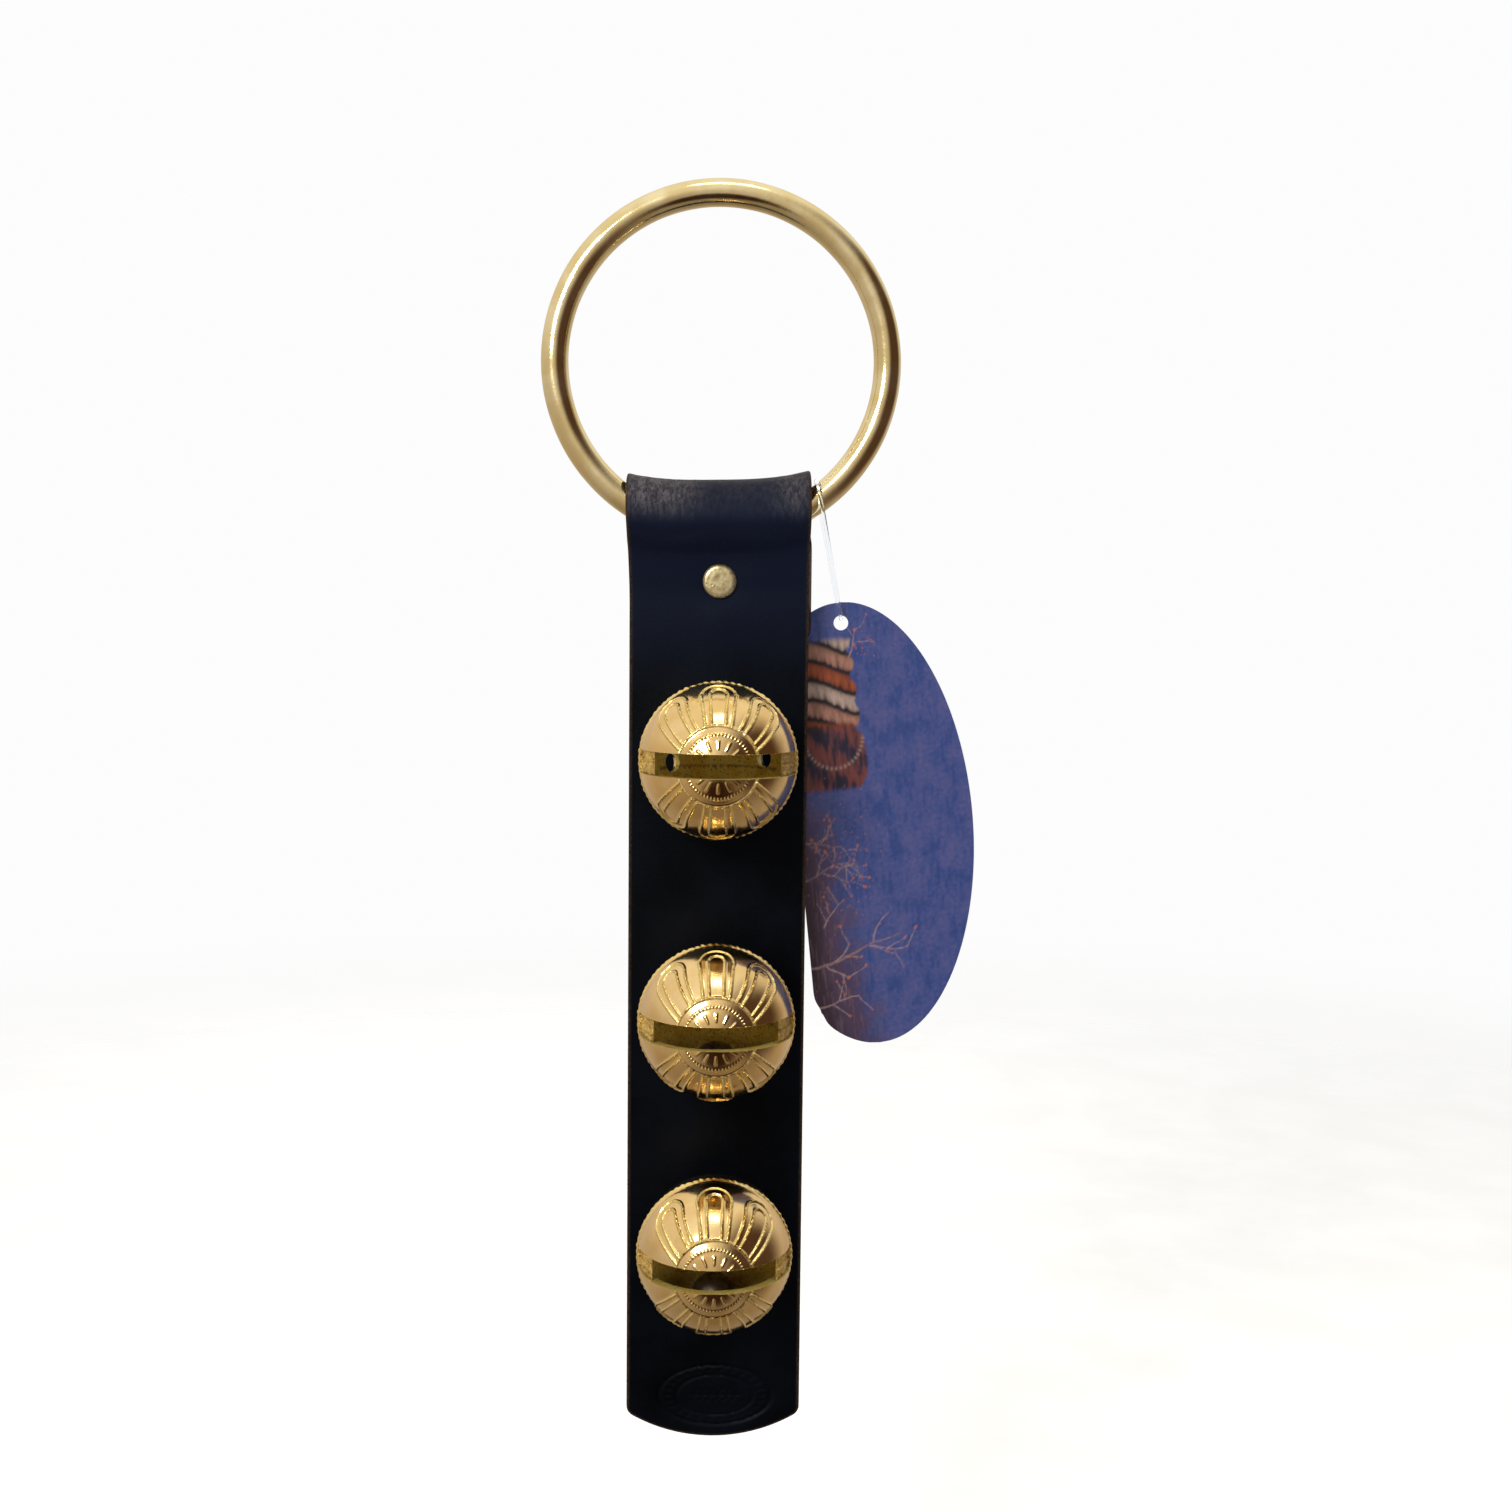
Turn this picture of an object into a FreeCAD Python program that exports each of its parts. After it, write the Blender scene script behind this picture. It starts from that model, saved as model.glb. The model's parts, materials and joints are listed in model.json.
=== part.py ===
"""Sleigh-bell door hanger: a folded leather strap on a steel ring, three brass petal bells and a card tag.

Units are millimetres.  The origin is the centre of the hanging ring, +Z is up, the strap lies in the
XZ plane and its decorated front faces -Y.
"""
import FreeCAD, Part
import math
import os
import Sketcher

SIZES = (
    # alias, value, what it measures
    ("ring_bore", 64.5, "inside diameter of the hanging ring"),
    ("ring_wire", 5.8, "diameter of the ring's wire"),
    ("strap_width", 38.1, "width of the leather strap"),
    ("leather", 3.2, "thickness of the leather"),
    ("layer_gap", 0.1, "hairline between the two riveted layers"),
    ("fold_top_drop", 25.8, "from the ring's centre down to the top of the fold"),
    ("fold_room", 10.8, "clear width inside the fold"),
    ("fold_saddle", 57.0, "radius of the hollow along the top of the fold"),
    ("fold_neck_drop", 42.2, "from the ring's centre down to where both layers lie flat"),
    ("strap_length", 208.3, "from the top of the fold to the strap's tip"),
    ("tip_rise", 5.5, "how far the strap's corners stand above its tip"),
    ("tip_corner", 2.5, "radius at the strap's two lower corners"),
    ("tail_length", 34.8, "from the top of the fold to the end of the rear layer"),
    ("rivet_drop", 20.2, "from the top of the fold to the rivet"),
    ("rivet_head", 7.2, "diameter of the rivet's head and cap"),
    ("rivet_shank", 3.2, "diameter of the rivet's shank"),
    ("rivet_rise", 1.1, "height of the rivet's head"),
    ("cap_rise", 1.5, "height of the rivet's cap"),
    ("bell_drop", 56.8, "from the top of the fold to the first bell's shank"),
    ("bell_spacing", 51.4, "mean distance from one bell to the next"),
    ("middle_bell_low", 2.3, "how far below half-way the middle bell's hole was punched"),
    ("bell_diameter", 31.75, "outside diameter of a bell"),
    ("bell_wall", 2.0, "thickness of a bell's wall"),
    ("bead_wire", 1.6, "diameter of the cast bead round a bell's widest line"),
    ("slot_width", 4.8, "width of the slot in a bell"),
    ("slot_length", 25.0, "length of the slot in a bell"),
    ("sound_hole", 4.0, "diameter of the two sound holes in a bell's back"),
    ("sound_hole_angle", 44.0, "angle of the sound holes from the shank"),
    ("collar_diameter", 9.0, "diameter of the collar that stands a bell off the leather"),
    ("collar_reach", 17.5, "from a bell's centre to the face of its collar"),
    ("shank_diameter", 5.5, "diameter of a bell's shank"),
    ("running_gap", 0.1, "gap along the shank between turning faces"),
    ("shank_gap", 0.08, "radial clearance of a shank in its hole"),
    ("shank_stand", 3.6, "how far a shank ends behind the strap's mid plane"),
    ("washer_diameter", 12.0, "outside diameter of a washer"),
    ("washer_thickness", 1.0, "thickness of a washer"),
    ("cotter_wire", 1.1, "diameter of a cotter pin's wire"),
    ("cotter_eye", 3.4, "diameter of a cotter pin's eye along the wire's middle"),
    ("cotter_leg", 3.2, "length of a cotter pin's bent leg"),
    ("cotter_bend", 60.0, "angle that a cotter pin's legs are bent apart"),
    ("pea_diameter", 9.5, "diameter of the steel ball in a bell"),
    ("pea_gap", 0.15, "gap between the ball and the cavity it rolls in"),
    ("tag_width", 50.0, "width of the oval tag"),
    ("tag_height", 98.0, "height of the oval tag"),
    ("tag_flat_side", 13.7, "from the tag's long axis to its one straight side"),
    ("tag_corner", 4.0, "radius at the two ends of the straight side"),
    ("tag_thickness", 0.5, "thickness of the tag's card"),
    ("tag_back", 5.5, "how far the tag's mid plane hangs behind the ring's mid plane"),
    ("tag_tilt", 6.2, "lean of the tag's long axis"),
    ("tag_hole", 3.2, "diameter of the tag's hole"),
    ("tag_hole_inset", 4.5, "from the tag's top to its hole's centre"),
    ("loop_wire", 0.8, "diameter of the plastic loop's strand"),
    ("loop_top_radius", 3.7, "bend of the strand's middle over the ring"),
    ("loop_foot_radius", 1.4, "bend of the strand's middle through the tag"),
    ("loop_length", 26.0, "from the ring's wire to the bend through the tag"),
    ("loop_lean", 11.6, "lean of the loop away from vertical"),
    ("loop_place", 37.0, "angle round the ring from its lowest point to the loop"),
)

X_AXIS = FreeCAD.Vector(1, 0, 0)
Y_AXIS = FreeCAD.Vector(0, 1, 0)
Z_AXIS = FreeCAD.Vector(0, 0, 1)
BELLS = (1, 2, 3)


class Sizes:
    """Reads the sheet's aliases as plain numbers, so that size.leather is the leather's thickness."""

    def __init__(self, sheet):
        self.sheet = sheet

    def __getattr__(self, alias):
        return float(self.sheet.get(alias))


def make_sheet(doc):
    sheet = doc.addObject("Spreadsheet::Sheet", "sizes")
    for row, (alias, value, meaning) in enumerate(SIZES, start=1):
        sheet.set(f"A{row}", meaning)
        sheet.set(f"B{row}", str(value))
        sheet.setAlias(f"B{row}", alias)
    doc.recompute()
    return sheet


def bound(doc, kind, name, **expressions):
    """A document object with each named property driven by an expression on the sheet."""
    item = doc.addObject(kind, name)
    for prop, expression in expressions.items():
        item.setExpression(prop, expression)
    return item


def turned(axis, angle, x=0.0, y=0.0, z=0.0):
    return FreeCAD.Placement(FreeCAD.Vector(x, y, z), FreeCAD.Rotation(axis, angle))


def moved(x=0.0, y=0.0, z=0.0):
    return turned(Z_AXIS, 0, x, y, z)


def fused(doc, name, shapes):
    item = doc.addObject("Part::MultiFuse", name)
    item.Shapes = shapes
    item.Refine = True
    return item


def cut(doc, name, base, tool):
    item = doc.addObject("Part::Cut", name)
    item.Base = base
    item.Tool = tool
    item.Refine = True
    return item


def origin_plane(body, role):
    return next(plane for plane in body.Origin.OriginFeatures if plane.Role == role)


def plane_sketch(body, name, role):
    sketch = body.newObject("Sketcher::SketchObject", name)
    sketch.AttachmentSupport = [(origin_plane(body, role), "")]
    sketch.MapMode = "FlatFace"
    return sketch


def pin_point(sketch, edge, end, across, up):
    """Hold one end of a sketch edge at (across, up), each an expression on the sheet."""
    for constraint, expression, axis in (("DistanceX", across, -2), ("DistanceY", up, -1)):
        value = sketch.evalExpression(expression)
        if abs(value) < 1e-9:
            sketch.addConstraint(Sketcher.Constraint("PointOnObject", edge, end, axis))
        else:
            index = sketch.addConstraint(Sketcher.Constraint(constraint, -1, 1, edge, end, value))
            sketch.setExpression(f"Constraints[{index}]", expression)


def outline(sketch, corners):
    """A closed outline of straight edges through corners given as pairs of expressions."""
    points = [FreeCAD.Vector(sketch.evalExpression(across), sketch.evalExpression(up), 0)
              for across, up in corners]
    for here, there in zip(points, points[1:] + points[:1]):
        sketch.addGeometry(Part.LineSegment(here, there))
    for edge, (across, up) in enumerate(corners):
        before = edge - 1 if edge else len(corners) - 1
        sketch.addConstraint(Sketcher.Constraint("Coincident", before, 2, edge, 1))
        pin_point(sketch, edge, 1, across, up)


def turned_body(doc, name, corners):
    """A body of revolution about Y from the corners of its half outline."""
    body = doc.addObject("PartDesign::Body", name)
    sketch = plane_sketch(body, f"{name}_outline", "XY_Plane")
    outline(sketch, corners)
    turn = body.newObject("PartDesign::Revolution", f"{name}_turn")
    turn.Profile = sketch
    turn.ReferenceAxis = (sketch, ["V_Axis"])
    turn.Angle = 360
    return body


def make_ring(doc):
    ring = bound(doc, "Part::Torus", "hanging_ring",
                 Radius1="(sizes.ring_bore + sizes.ring_wire) / 2",
                 Radius2="sizes.ring_wire / 2")
    ring.Placement = turned(X_AXIS, 90)
    return ring


def fold_side(size, side, offset):
    """One side of the folded leather's section, from its foot up to where the fold's arch starts.

    offset is the distance outside the leather's inner face, and side is -1 at the front, +1 behind.
    """
    inner_flat = size.layer_gap / 2
    inner_arch = size.fold_room / 2
    arch_z = -size.fold_top_drop - size.leather - inner_arch
    neck_z = -size.fold_neck_drop
    bend = 2 * math.atan((inner_arch - inner_flat) / (arch_z - neck_z))
    radius = (arch_z - neck_z) / (2 * math.sin(bend))

    def point(y, z):
        return FreeCAD.Vector(0, side * y, z)

    def on_arc(centre_y, centre_z, reach, angle):
        return point(centre_y + reach * math.cos(angle), centre_z + reach * math.sin(angle))

    lower = (inner_flat + radius, neck_z, radius - offset)
    upper = (inner_arch - radius, arch_z, radius + offset)
    foot = point(inner_flat + offset, neck_z - 5.0)
    neck = on_arc(*lower, math.pi)
    middle = on_arc(*lower, math.pi - bend)
    arch = on_arc(*upper, 0)
    return [
        Part.makeLine(foot, neck),
        Part.Arc(neck, on_arc(*lower, math.pi - bend / 2), middle).toShape(),
        Part.Arc(middle, on_arc(*upper, -bend / 2), arch).toShape(),
    ]


def fold_section(size):
    """The section across the fold: two flat layers that part, bulge round the ring and join in an arch."""
    faces = []
    for offset in (0.0, size.leather):
        front = fold_side(size, -1, offset)
        rear = fold_side(size, 1, offset)
        start = front[-1].Vertexes[-1].Point
        end = rear[-1].Vertexes[-1].Point
        top = FreeCAD.Vector(0, 0, -size.fold_top_drop - size.leather + offset)
        faces.append(front + [Part.Arc(start, top, end).toShape()] + rear[::-1])
    inner, outer = faces
    feet = [Part.makeLine(inner[end].Vertexes[0].Point, outer[end].Vertexes[0].Point) for end in (0, -1)]
    return Part.Face(Part.Wire(Part.__sortEdges__(inner + outer + feet)))


def make_fold(doc, size):
    """The folded end, its section turned about a line above it so that its top is hollow like a saddle."""
    half_width = size.strap_width / 2
    half_turn = math.degrees(math.asin((half_width + 1) / size.fold_saddle))
    pivot = FreeCAD.Vector(0, 0, size.fold_saddle - size.fold_top_drop)
    section = fold_section(size)
    section.rotate(pivot, Y_AXIS, -half_turn)
    saddle = section.revolve(pivot, Y_AXIS, 2 * half_turn)
    between_edges = Part.makeBox(size.strap_width, 100, 200, FreeCAD.Vector(-half_width, -50, -150))
    fold = doc.addObject("Part::Feature", "strap_fold")
    fold.Shape = saddle.common(between_edges)
    return fold


def flat_layer(doc, name, top, foot, tip_rise, y):
    """A flat leather layer whose rear face is at y, with a lower edge bowed down by tip_rise."""
    body = doc.addObject("PartDesign::Body", name)
    sketch = plane_sketch(body, f"{name}_outline", "XZ_Plane")
    half = "sizes.strap_width / 2"
    corner = f"{foot} + {tip_rise}"
    across = sketch.evalExpression(half)
    high = sketch.evalExpression(top)
    side = sketch.evalExpression(corner)
    low = sketch.evalExpression(foot)
    left_top = FreeCAD.Vector(-across, high, 0)
    right_top = FreeCAD.Vector(across, high, 0)
    left_low = FreeCAD.Vector(-across, side, 0)
    right_low = FreeCAD.Vector(across, side, 0)
    sketch.addGeometry(Part.LineSegment(right_low, right_top))
    sketch.addGeometry(Part.LineSegment(right_top, left_top))
    sketch.addGeometry(Part.LineSegment(left_top, left_low))
    sketch.addGeometry(Part.Arc(left_low, FreeCAD.Vector(0, low, 0), right_low))
    for edge in (0, 1):
        sketch.addConstraint(Sketcher.Constraint("Coincident", edge, 2, edge + 1, 1))
    sketch.addConstraint(Sketcher.Constraint("Coincident", 2, 2, 3, 1))
    sketch.addConstraint(Sketcher.Constraint("Coincident", 3, 2, 0, 1))
    pin_point(sketch, 0, 1, half, corner)
    pin_point(sketch, 1, 1, half, top)
    pin_point(sketch, 2, 1, f"-{half}", top)
    pin_point(sketch, 2, 2, f"-{half}", corner)
    bow = sketch.addConstraint(Sketcher.Constraint("Radius", 3, sketch.Geometry[3].Radius))
    sketch.setExpression(f"Constraints[{bow}]", f"(({half})^2 + ({tip_rise})^2) / (2 * {tip_rise})")
    pad = body.newObject("PartDesign::Pad", f"{name}_pad")
    pad.Profile = sketch
    pad.setExpression("Length", "sizes.leather")
    body.Placement = moved(y=y)
    doc.recompute()
    corners = [f"Edge{number}" for number, edge in enumerate(pad.Shape.Edges, start=1)
               if is_low_corner(edge, side)]
    rounding = body.newObject("PartDesign::Fillet", f"{name}_corners")
    rounding.Base = (pad, corners)
    rounding.setExpression("Radius", "sizes.tip_corner")
    return body


def is_low_corner(edge, height):
    """Whether an edge crosses the leather's thickness at the given height."""
    first, last = edge.Vertexes[0].Point, edge.Vertexes[-1].Point
    crosses = abs(first.x - last.x) < 1e-6 and abs(first.z - last.z) < 1e-6
    return crosses and abs(first.z - height) < 1e-6


def shank_height(size, number):
    punched_low = size.middle_bell_low if number == 2 else 0
    return -size.fold_top_drop - size.bell_drop - (number - 1) * size.bell_spacing - punched_low


def make_strap(doc, size):
    """One strip of leather, folded over the ring, with holes for the rivet and the bells' shanks."""
    top = "-sizes.fold_neck_drop - 0.5"
    panel = flat_layer(doc, "strap_panel", top, "-sizes.fold_top_drop - sizes.strap_length",
                       "sizes.tip_rise", -size.layer_gap / 2)
    tail = flat_layer(doc, "strap_tail", top, "-sizes.fold_top_drop - sizes.tail_length",
                      "sizes.tip_rise / 2", size.layer_gap / 2 + size.leather)
    leather = fused(doc, "strap_leather", [make_fold(doc, size), panel, tail])
    holes = [bound(doc, "Part::Cylinder", "strap_rivet_hole", Radius="sizes.rivet_shank / 2", Height="50")]
    holes[0].Placement = turned(X_AXIS, 90, y=25, z=-size.fold_top_drop - size.rivet_drop)
    for number in BELLS:
        hole = bound(doc, "Part::Cylinder", f"strap_shank_hole_{number}", Height="50",
                     Radius="sizes.shank_diameter / 2 + sizes.shank_gap")
        hole.Placement = turned(X_AXIS, 90, y=25, z=shank_height(size, number))
        holes.append(hole)
    return cut(doc, "strap", leather, fused(doc, "strap_holes", holes))


def make_rivet(doc, size):
    """A capped rivet: the post's head is in front and the cap is pressed on its shank behind."""
    height = -size.fold_top_drop - size.rivet_drop
    head = "sizes.rivet_head / 2"
    shank = "sizes.rivet_shank / 2"
    seat = "-sizes.layer_gap / 2 - sizes.leather"
    back = "sizes.layer_gap / 2 + sizes.leather"
    post = turned_body(doc, "rivet_post", [
        ("0", f"{seat} - sizes.rivet_rise"),
        (f"{head} - 0.6", f"{seat} - sizes.rivet_rise"),
        (head, f"{seat} - sizes.rivet_rise + 0.5"),
        (head, seat),
        (shank, seat),
        (shank, f"{back} + sizes.cap_rise / 2"),
        ("0", f"{back} + sizes.cap_rise / 2"),
    ])
    cap = turned_body(doc, "rivet_cap", [
        ("0", f"{back} + sizes.cap_rise / 2"),
        (shank, f"{back} + sizes.cap_rise / 2"),
        (shank, back),
        (head, back),
        (head, f"{back} + sizes.cap_rise / 2"),
        (f"{head} - 1.2", f"{back} + sizes.cap_rise"),
        ("0", f"{back} + sizes.cap_rise"),
    ])
    for piece in (post, cap):
        piece.Placement = moved(z=height)
    return [post, cap]


def bell_centre(size, number):
    """The bell's centre: its collar stands just clear of the strap's front face."""
    front = -size.layer_gap / 2 - size.leather
    return FreeCAD.Vector(0, front - size.running_gap - size.collar_reach, shank_height(size, number))


def make_shell(doc, size, number):
    """A hollow cast bell with its bead, collar and drilled shank in one, a slot and two sound holes."""
    name = f"bell_{number}"
    centre = bell_centre(size, number)
    shank_end = size.shank_stand - centre.y
    cotter_y = washer_back(size) + size.running_gap + size.cotter_wire / 2

    ball = bound(doc, "Part::Sphere", f"{name}_ball", Radius="sizes.bell_diameter / 2")
    ball.Placement = moved(*centre)
    bead = bound(doc, "Part::Torus", f"{name}_bead", Radius1="sizes.bell_diameter / 2 - sizes.bead_wire / 4",
                 Radius2="sizes.bead_wire / 2")
    bead.Placement = turned(X_AXIS, 90, *centre)
    collar = bound(doc, "Part::Cylinder", f"{name}_collar", Radius="sizes.collar_diameter / 2",
                   Height="sizes.collar_reach - sizes.bell_diameter / 2 + sizes.bell_wall")
    collar.Placement = turned(X_AXIS, 90, 0, centre.y + size.collar_reach, centre.z)
    shank = bound(doc, "Part::Cylinder", f"{name}_shank", Radius="sizes.shank_diameter / 2")
    shank.Height = shank_end - size.collar_reach + 1.0
    shank.Placement = turned(X_AXIS, 90, 0, centre.y + shank_end, centre.z)
    solid = fused(doc, f"{name}_solid", [ball, bead, collar, shank])

    cavity = bound(doc, "Part::Sphere", f"{name}_cavity", Radius="sizes.bell_diameter / 2 - sizes.bell_wall")
    cavity.Placement = moved(*centre)
    slot = bound(doc, "Part::Box", f"{name}_slot", Length="sizes.slot_length", Height="sizes.slot_width",
                 Width="sizes.bell_diameter / 3")
    slot.Placement = moved(-size.slot_length / 2, centre.y - size.bell_diameter / 2 - 1,
                           centre.z - size.slot_width / 2)
    openings = [cavity, slot]
    for side, sign in (("left", -1), ("right", 1)):
        hole = bound(doc, "Part::Cylinder", f"{name}_sound_hole_{side}", Radius="sizes.sound_hole / 2",
                     Height="sizes.bell_diameter")
        lean = FreeCAD.Rotation(Z_AXIS, -sign * size.sound_hole_angle)
        hole.Placement = FreeCAD.Placement(centre, lean.multiply(FreeCAD.Rotation(X_AXIS, -90)))
        openings.append(hole)
    cross = bound(doc, "Part::Cylinder", f"{name}_cotter_hole", Radius="sizes.cotter_wire + 0.15",
                  Height="2 * sizes.shank_diameter")
    cross.Placement = moved(0, cotter_y, centre.z - size.shank_diameter)
    openings.append(cross)
    return cut(doc, f"{name}_shell", solid, fused(doc, f"{name}_openings", openings))


def washer_back(size):
    """Where a washer's rear face lies: the washer stands just clear of the strap's rear face."""
    return -size.layer_gap / 2 + size.running_gap + size.washer_thickness


def make_washer(doc, size, number):
    bore = "sizes.shank_diameter / 2 + sizes.shank_gap"
    washer = turned_body(doc, f"bell_{number}_washer", [
        (bore, "0"),
        ("sizes.washer_diameter / 2", "0"),
        ("sizes.washer_diameter / 2", "-sizes.washer_thickness"),
        (bore, "-sizes.washer_thickness"),
    ])
    washer.Placement = moved(0, washer_back(size), shank_height(size, number))
    return washer


def cotter_path(size):
    """Half of a split pin along the wire's middle: from the eye's top down one leg and out along its bend."""
    leg_x = size.cotter_wire / 2 + 0.05
    eye = size.cotter_eye / 2
    neck = size.shank_diameter / 2 + 0.3
    eye_z = neck + math.sqrt(eye ** 2 - leg_x ** 2)
    bend = math.radians(size.cotter_bend)
    turn = 1.2
    foot_z = -neck
    end = FreeCAD.Vector(leg_x + turn * (1 - math.cos(bend)), 0, foot_z - turn * math.sin(bend))
    along = FreeCAD.Vector(math.sin(bend), 0, -math.cos(bend))
    half_bend = FreeCAD.Vector(leg_x + turn * (1 - math.cos(bend / 2)), 0, foot_z - turn * math.sin(bend / 2))
    neck_point = FreeCAD.Vector(leg_x, 0, neck)
    foot_point = FreeCAD.Vector(leg_x, 0, foot_z)
    return [
        Part.Arc(FreeCAD.Vector(0, 0, eye_z + eye), FreeCAD.Vector(eye, 0, eye_z), neck_point).toShape(),
        Part.makeLine(neck_point, foot_point),
        Part.Arc(foot_point, half_bend, end).toShape(),
        Part.makeLine(end, end + along * size.cotter_leg),
    ]


def strand(edges, radius):
    """A round strand along joined edges, starting at the first edge's first end."""
    path = Part.Wire(edges)
    first = edges[0]
    start = first.valueAt(first.FirstParameter)
    direction = first.tangentAt(first.FirstParameter)
    section = Part.Wire(Part.makeCircle(radius, start, direction))
    return path.makePipeShell([section], True, False, 2)


def make_cotter(doc, size, number):
    """A split pin through the shank, its eye up and its two legs bent apart below."""
    half = strand(cotter_path(size), size.cotter_wire / 2)
    other = half.mirror(FreeCAD.Vector(0, 0, 0), X_AXIS)
    cotter = doc.addObject("Part::Feature", f"bell_{number}_cotter_pin")
    cotter.Shape = half.fuse(other).removeSplitter()
    cotter.Placement = moved(0, washer_back(size) + size.running_gap + size.cotter_wire / 2,
                             shank_height(size, number))
    return cotter


def make_pea(doc, size, number):
    """The loose steel ball, resting at the lowest point of its bell's cavity."""
    pea = bound(doc, "Part::Sphere", f"bell_{number}_pea", Radius="sizes.pea_diameter / 2")
    drop = size.bell_diameter / 2 - size.bell_wall - size.pea_diameter / 2 - size.pea_gap
    pea.Placement = moved(*(bell_centre(size, number) - Z_AXIS * drop))
    return pea


def loop_top(size):
    """Where the loop hangs on the ring: the middle of the wire, some way round from its lowest point."""
    radius = (size.ring_bore + size.ring_wire) / 2
    place = math.radians(size.loop_place)
    return FreeCAD.Vector(radius * math.sin(place), 0, -radius * math.cos(place))


def loop_foot(size):
    """The middle of the strand where it passes through the tag."""
    lean = math.radians(size.loop_lean)
    along = FreeCAD.Vector(math.sin(lean), 0, -math.cos(lean)) * size.loop_length
    return loop_top(size) + along + Y_AXIS * size.tag_back


def make_loop(doc, size):
    """A closed clear strand: a wide bend over the ring, a narrow bend through the tag, two straight runs."""
    top = loop_top(size)
    foot = loop_foot(size)
    lean = math.radians(size.loop_lean)
    down = FreeCAD.Vector(math.sin(lean), 0, -math.cos(lean))
    foot_centre = foot - down * size.loop_foot_radius
    span = foot_centre - top
    length = span.Length
    axis = span / length
    side = axis.cross(Y_AXIS.cross(down)).normalize()
    spread = math.asin((size.loop_top_radius - size.loop_foot_radius) / length)

    def on_bend(centre, radius, sign):
        return centre + (axis * math.sin(spread) + side * (sign * math.cos(spread))) * radius

    left_top = on_bend(top, size.loop_top_radius, -1)
    right_top = on_bend(top, size.loop_top_radius, 1)
    left_foot = on_bend(foot_centre, size.loop_foot_radius, -1)
    right_foot = on_bend(foot_centre, size.loop_foot_radius, 1)
    edges = [
        Part.makeLine(left_top, left_foot),
        Part.Arc(left_foot, foot_centre + axis * size.loop_foot_radius, right_foot).toShape(),
        Part.makeLine(right_foot, right_top),
        Part.Arc(right_top, top - axis * size.loop_top_radius, left_top).toShape(),
    ]
    loop = doc.addObject("Part::Feature", "tag_loop")
    loop.Shape = strand(edges, size.loop_wire / 2)
    return loop


def is_straight_side_end(edge, across):
    """Whether an edge crosses the card's thickness at an end of its straight side."""
    first, last = edge.Vertexes[0].Point, edge.Vertexes[-1].Point
    crosses = abs(first.x - last.x) < 1e-6 and abs(first.z - last.z) > 1e-6
    return crosses and abs(first.y - across) < 1e-6


def make_tag(doc, size):
    """An oval card with its left side cut straight, hung by a hole near its top and leaning a little."""
    oval = bound(doc, "Part::Ellipse", "tag_oval", MajorRadius="sizes.tag_height / 2",
                 MinorRadius="sizes.tag_width / 2")
    card = doc.addObject("Part::Extrusion", "tag_card")
    card.Base = oval
    card.DirMode = "Custom"
    card.Dir = Z_AXIS
    card.Solid = True
    card.setExpression("LengthFwd", "sizes.tag_thickness / 2")
    card.setExpression("LengthRev", "sizes.tag_thickness / 2")
    kept_side = bound(doc, "Part::Box", "tag_kept_side", Length="2 * sizes.tag_height", Height="10",
                      Width="sizes.tag_width + sizes.tag_flat_side")
    kept_side.Placement = moved(-size.tag_height, -size.tag_width, -5)
    trimmed = doc.addObject("Part::MultiCommon", "tag_trimmed")
    trimmed.Shapes = [card, kept_side]
    doc.recompute()
    rounded = doc.addObject("Part::Fillet", "tag_rounded")
    rounded.Base = trimmed
    rounded.Edges = [(number, size.tag_corner, size.tag_corner)
                     for number, edge in enumerate(trimmed.Shape.Edges, start=1)
                     if is_straight_side_end(edge, size.tag_flat_side)]
    hole = bound(doc, "Part::Cylinder", "tag_hole", Radius="sizes.tag_hole / 2", Height="10")
    hole.Placement = moved(size.tag_height / 2 - size.tag_hole_inset, 0, -5)
    tag = cut(doc, "hang_tag", rounded, hole)
    # The card is drawn lying flat with its top towards +X; it hangs from the top of its hole.
    hang = size.tag_hole / 2 - size.loop_wire / 2 - 0.2
    to_hanger = FreeCAD.Vector(size.tag_height / 2 - size.tag_hole_inset + hang, 0, 0)
    upright = FreeCAD.Rotation(Y_AXIS, -90 - size.tag_tilt).multiply(FreeCAD.Rotation(X_AXIS, 90))
    tag.Placement = FreeCAD.Placement(loop_foot(size) - upright.multVec(to_hanger), upright)
    return tag


def build():
    doc = FreeCAD.newDocument("sleigh_bells")
    size = Sizes(make_sheet(doc))
    parts = [make_ring(doc), make_strap(doc, size)]
    parts += make_rivet(doc, size)
    for number in BELLS:
        parts.append(make_shell(doc, size, number))
        parts.append(make_pea(doc, size, number))
        parts.append(make_washer(doc, size, number))
        parts.append(make_cotter(doc, size, number))
    parts += [make_loop(doc, size), make_tag(doc, size)]
    for part in parts:
        part.Label = part.Name
    doc.recompute()
    return doc, parts


def check(doc, parts):
    """Stop before anything is written if an object failed or a part isn't one sound solid."""
    for item in doc.Objects:
        if "Invalid" in item.State or "Error" in item.State:
            raise RuntimeError(f"{item.Name} failed: {item.State}")
    for part in parts:
        if part.Shape.isNull() or not part.Shape.isValid() or len(part.Shape.Solids) != 1:
            raise RuntimeError(f"{part.Label} isn't one sound solid")


def main():
    doc, parts = build()
    check(doc, parts)
    os.makedirs("parts", exist_ok=True)
    for part in parts:
        part.Shape.exportStep(f"parts/{part.Label}.step")
        print(f"{part.Label}: {part.Shape.Volume:.1f} mm3")


main()
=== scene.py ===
"""The looks of a sleigh-bell door hanger: ring, leather strap, rivet, petal bells and printed tag.

Lengths are in millimetres until a mesh is made.  Meshes are in metres in the frame's own axes: the
origin is the centre of the hanging ring, +Z is up and the decorated side faces -Y.
"""

import json
from math import acos, asin, atan, cos, dist, pi, radians, sin, sqrt

import bmesh
import bpy
import numpy as np
from mathutils import Matrix, Vector, noise
from mathutils.kdtree import KDTree


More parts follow.
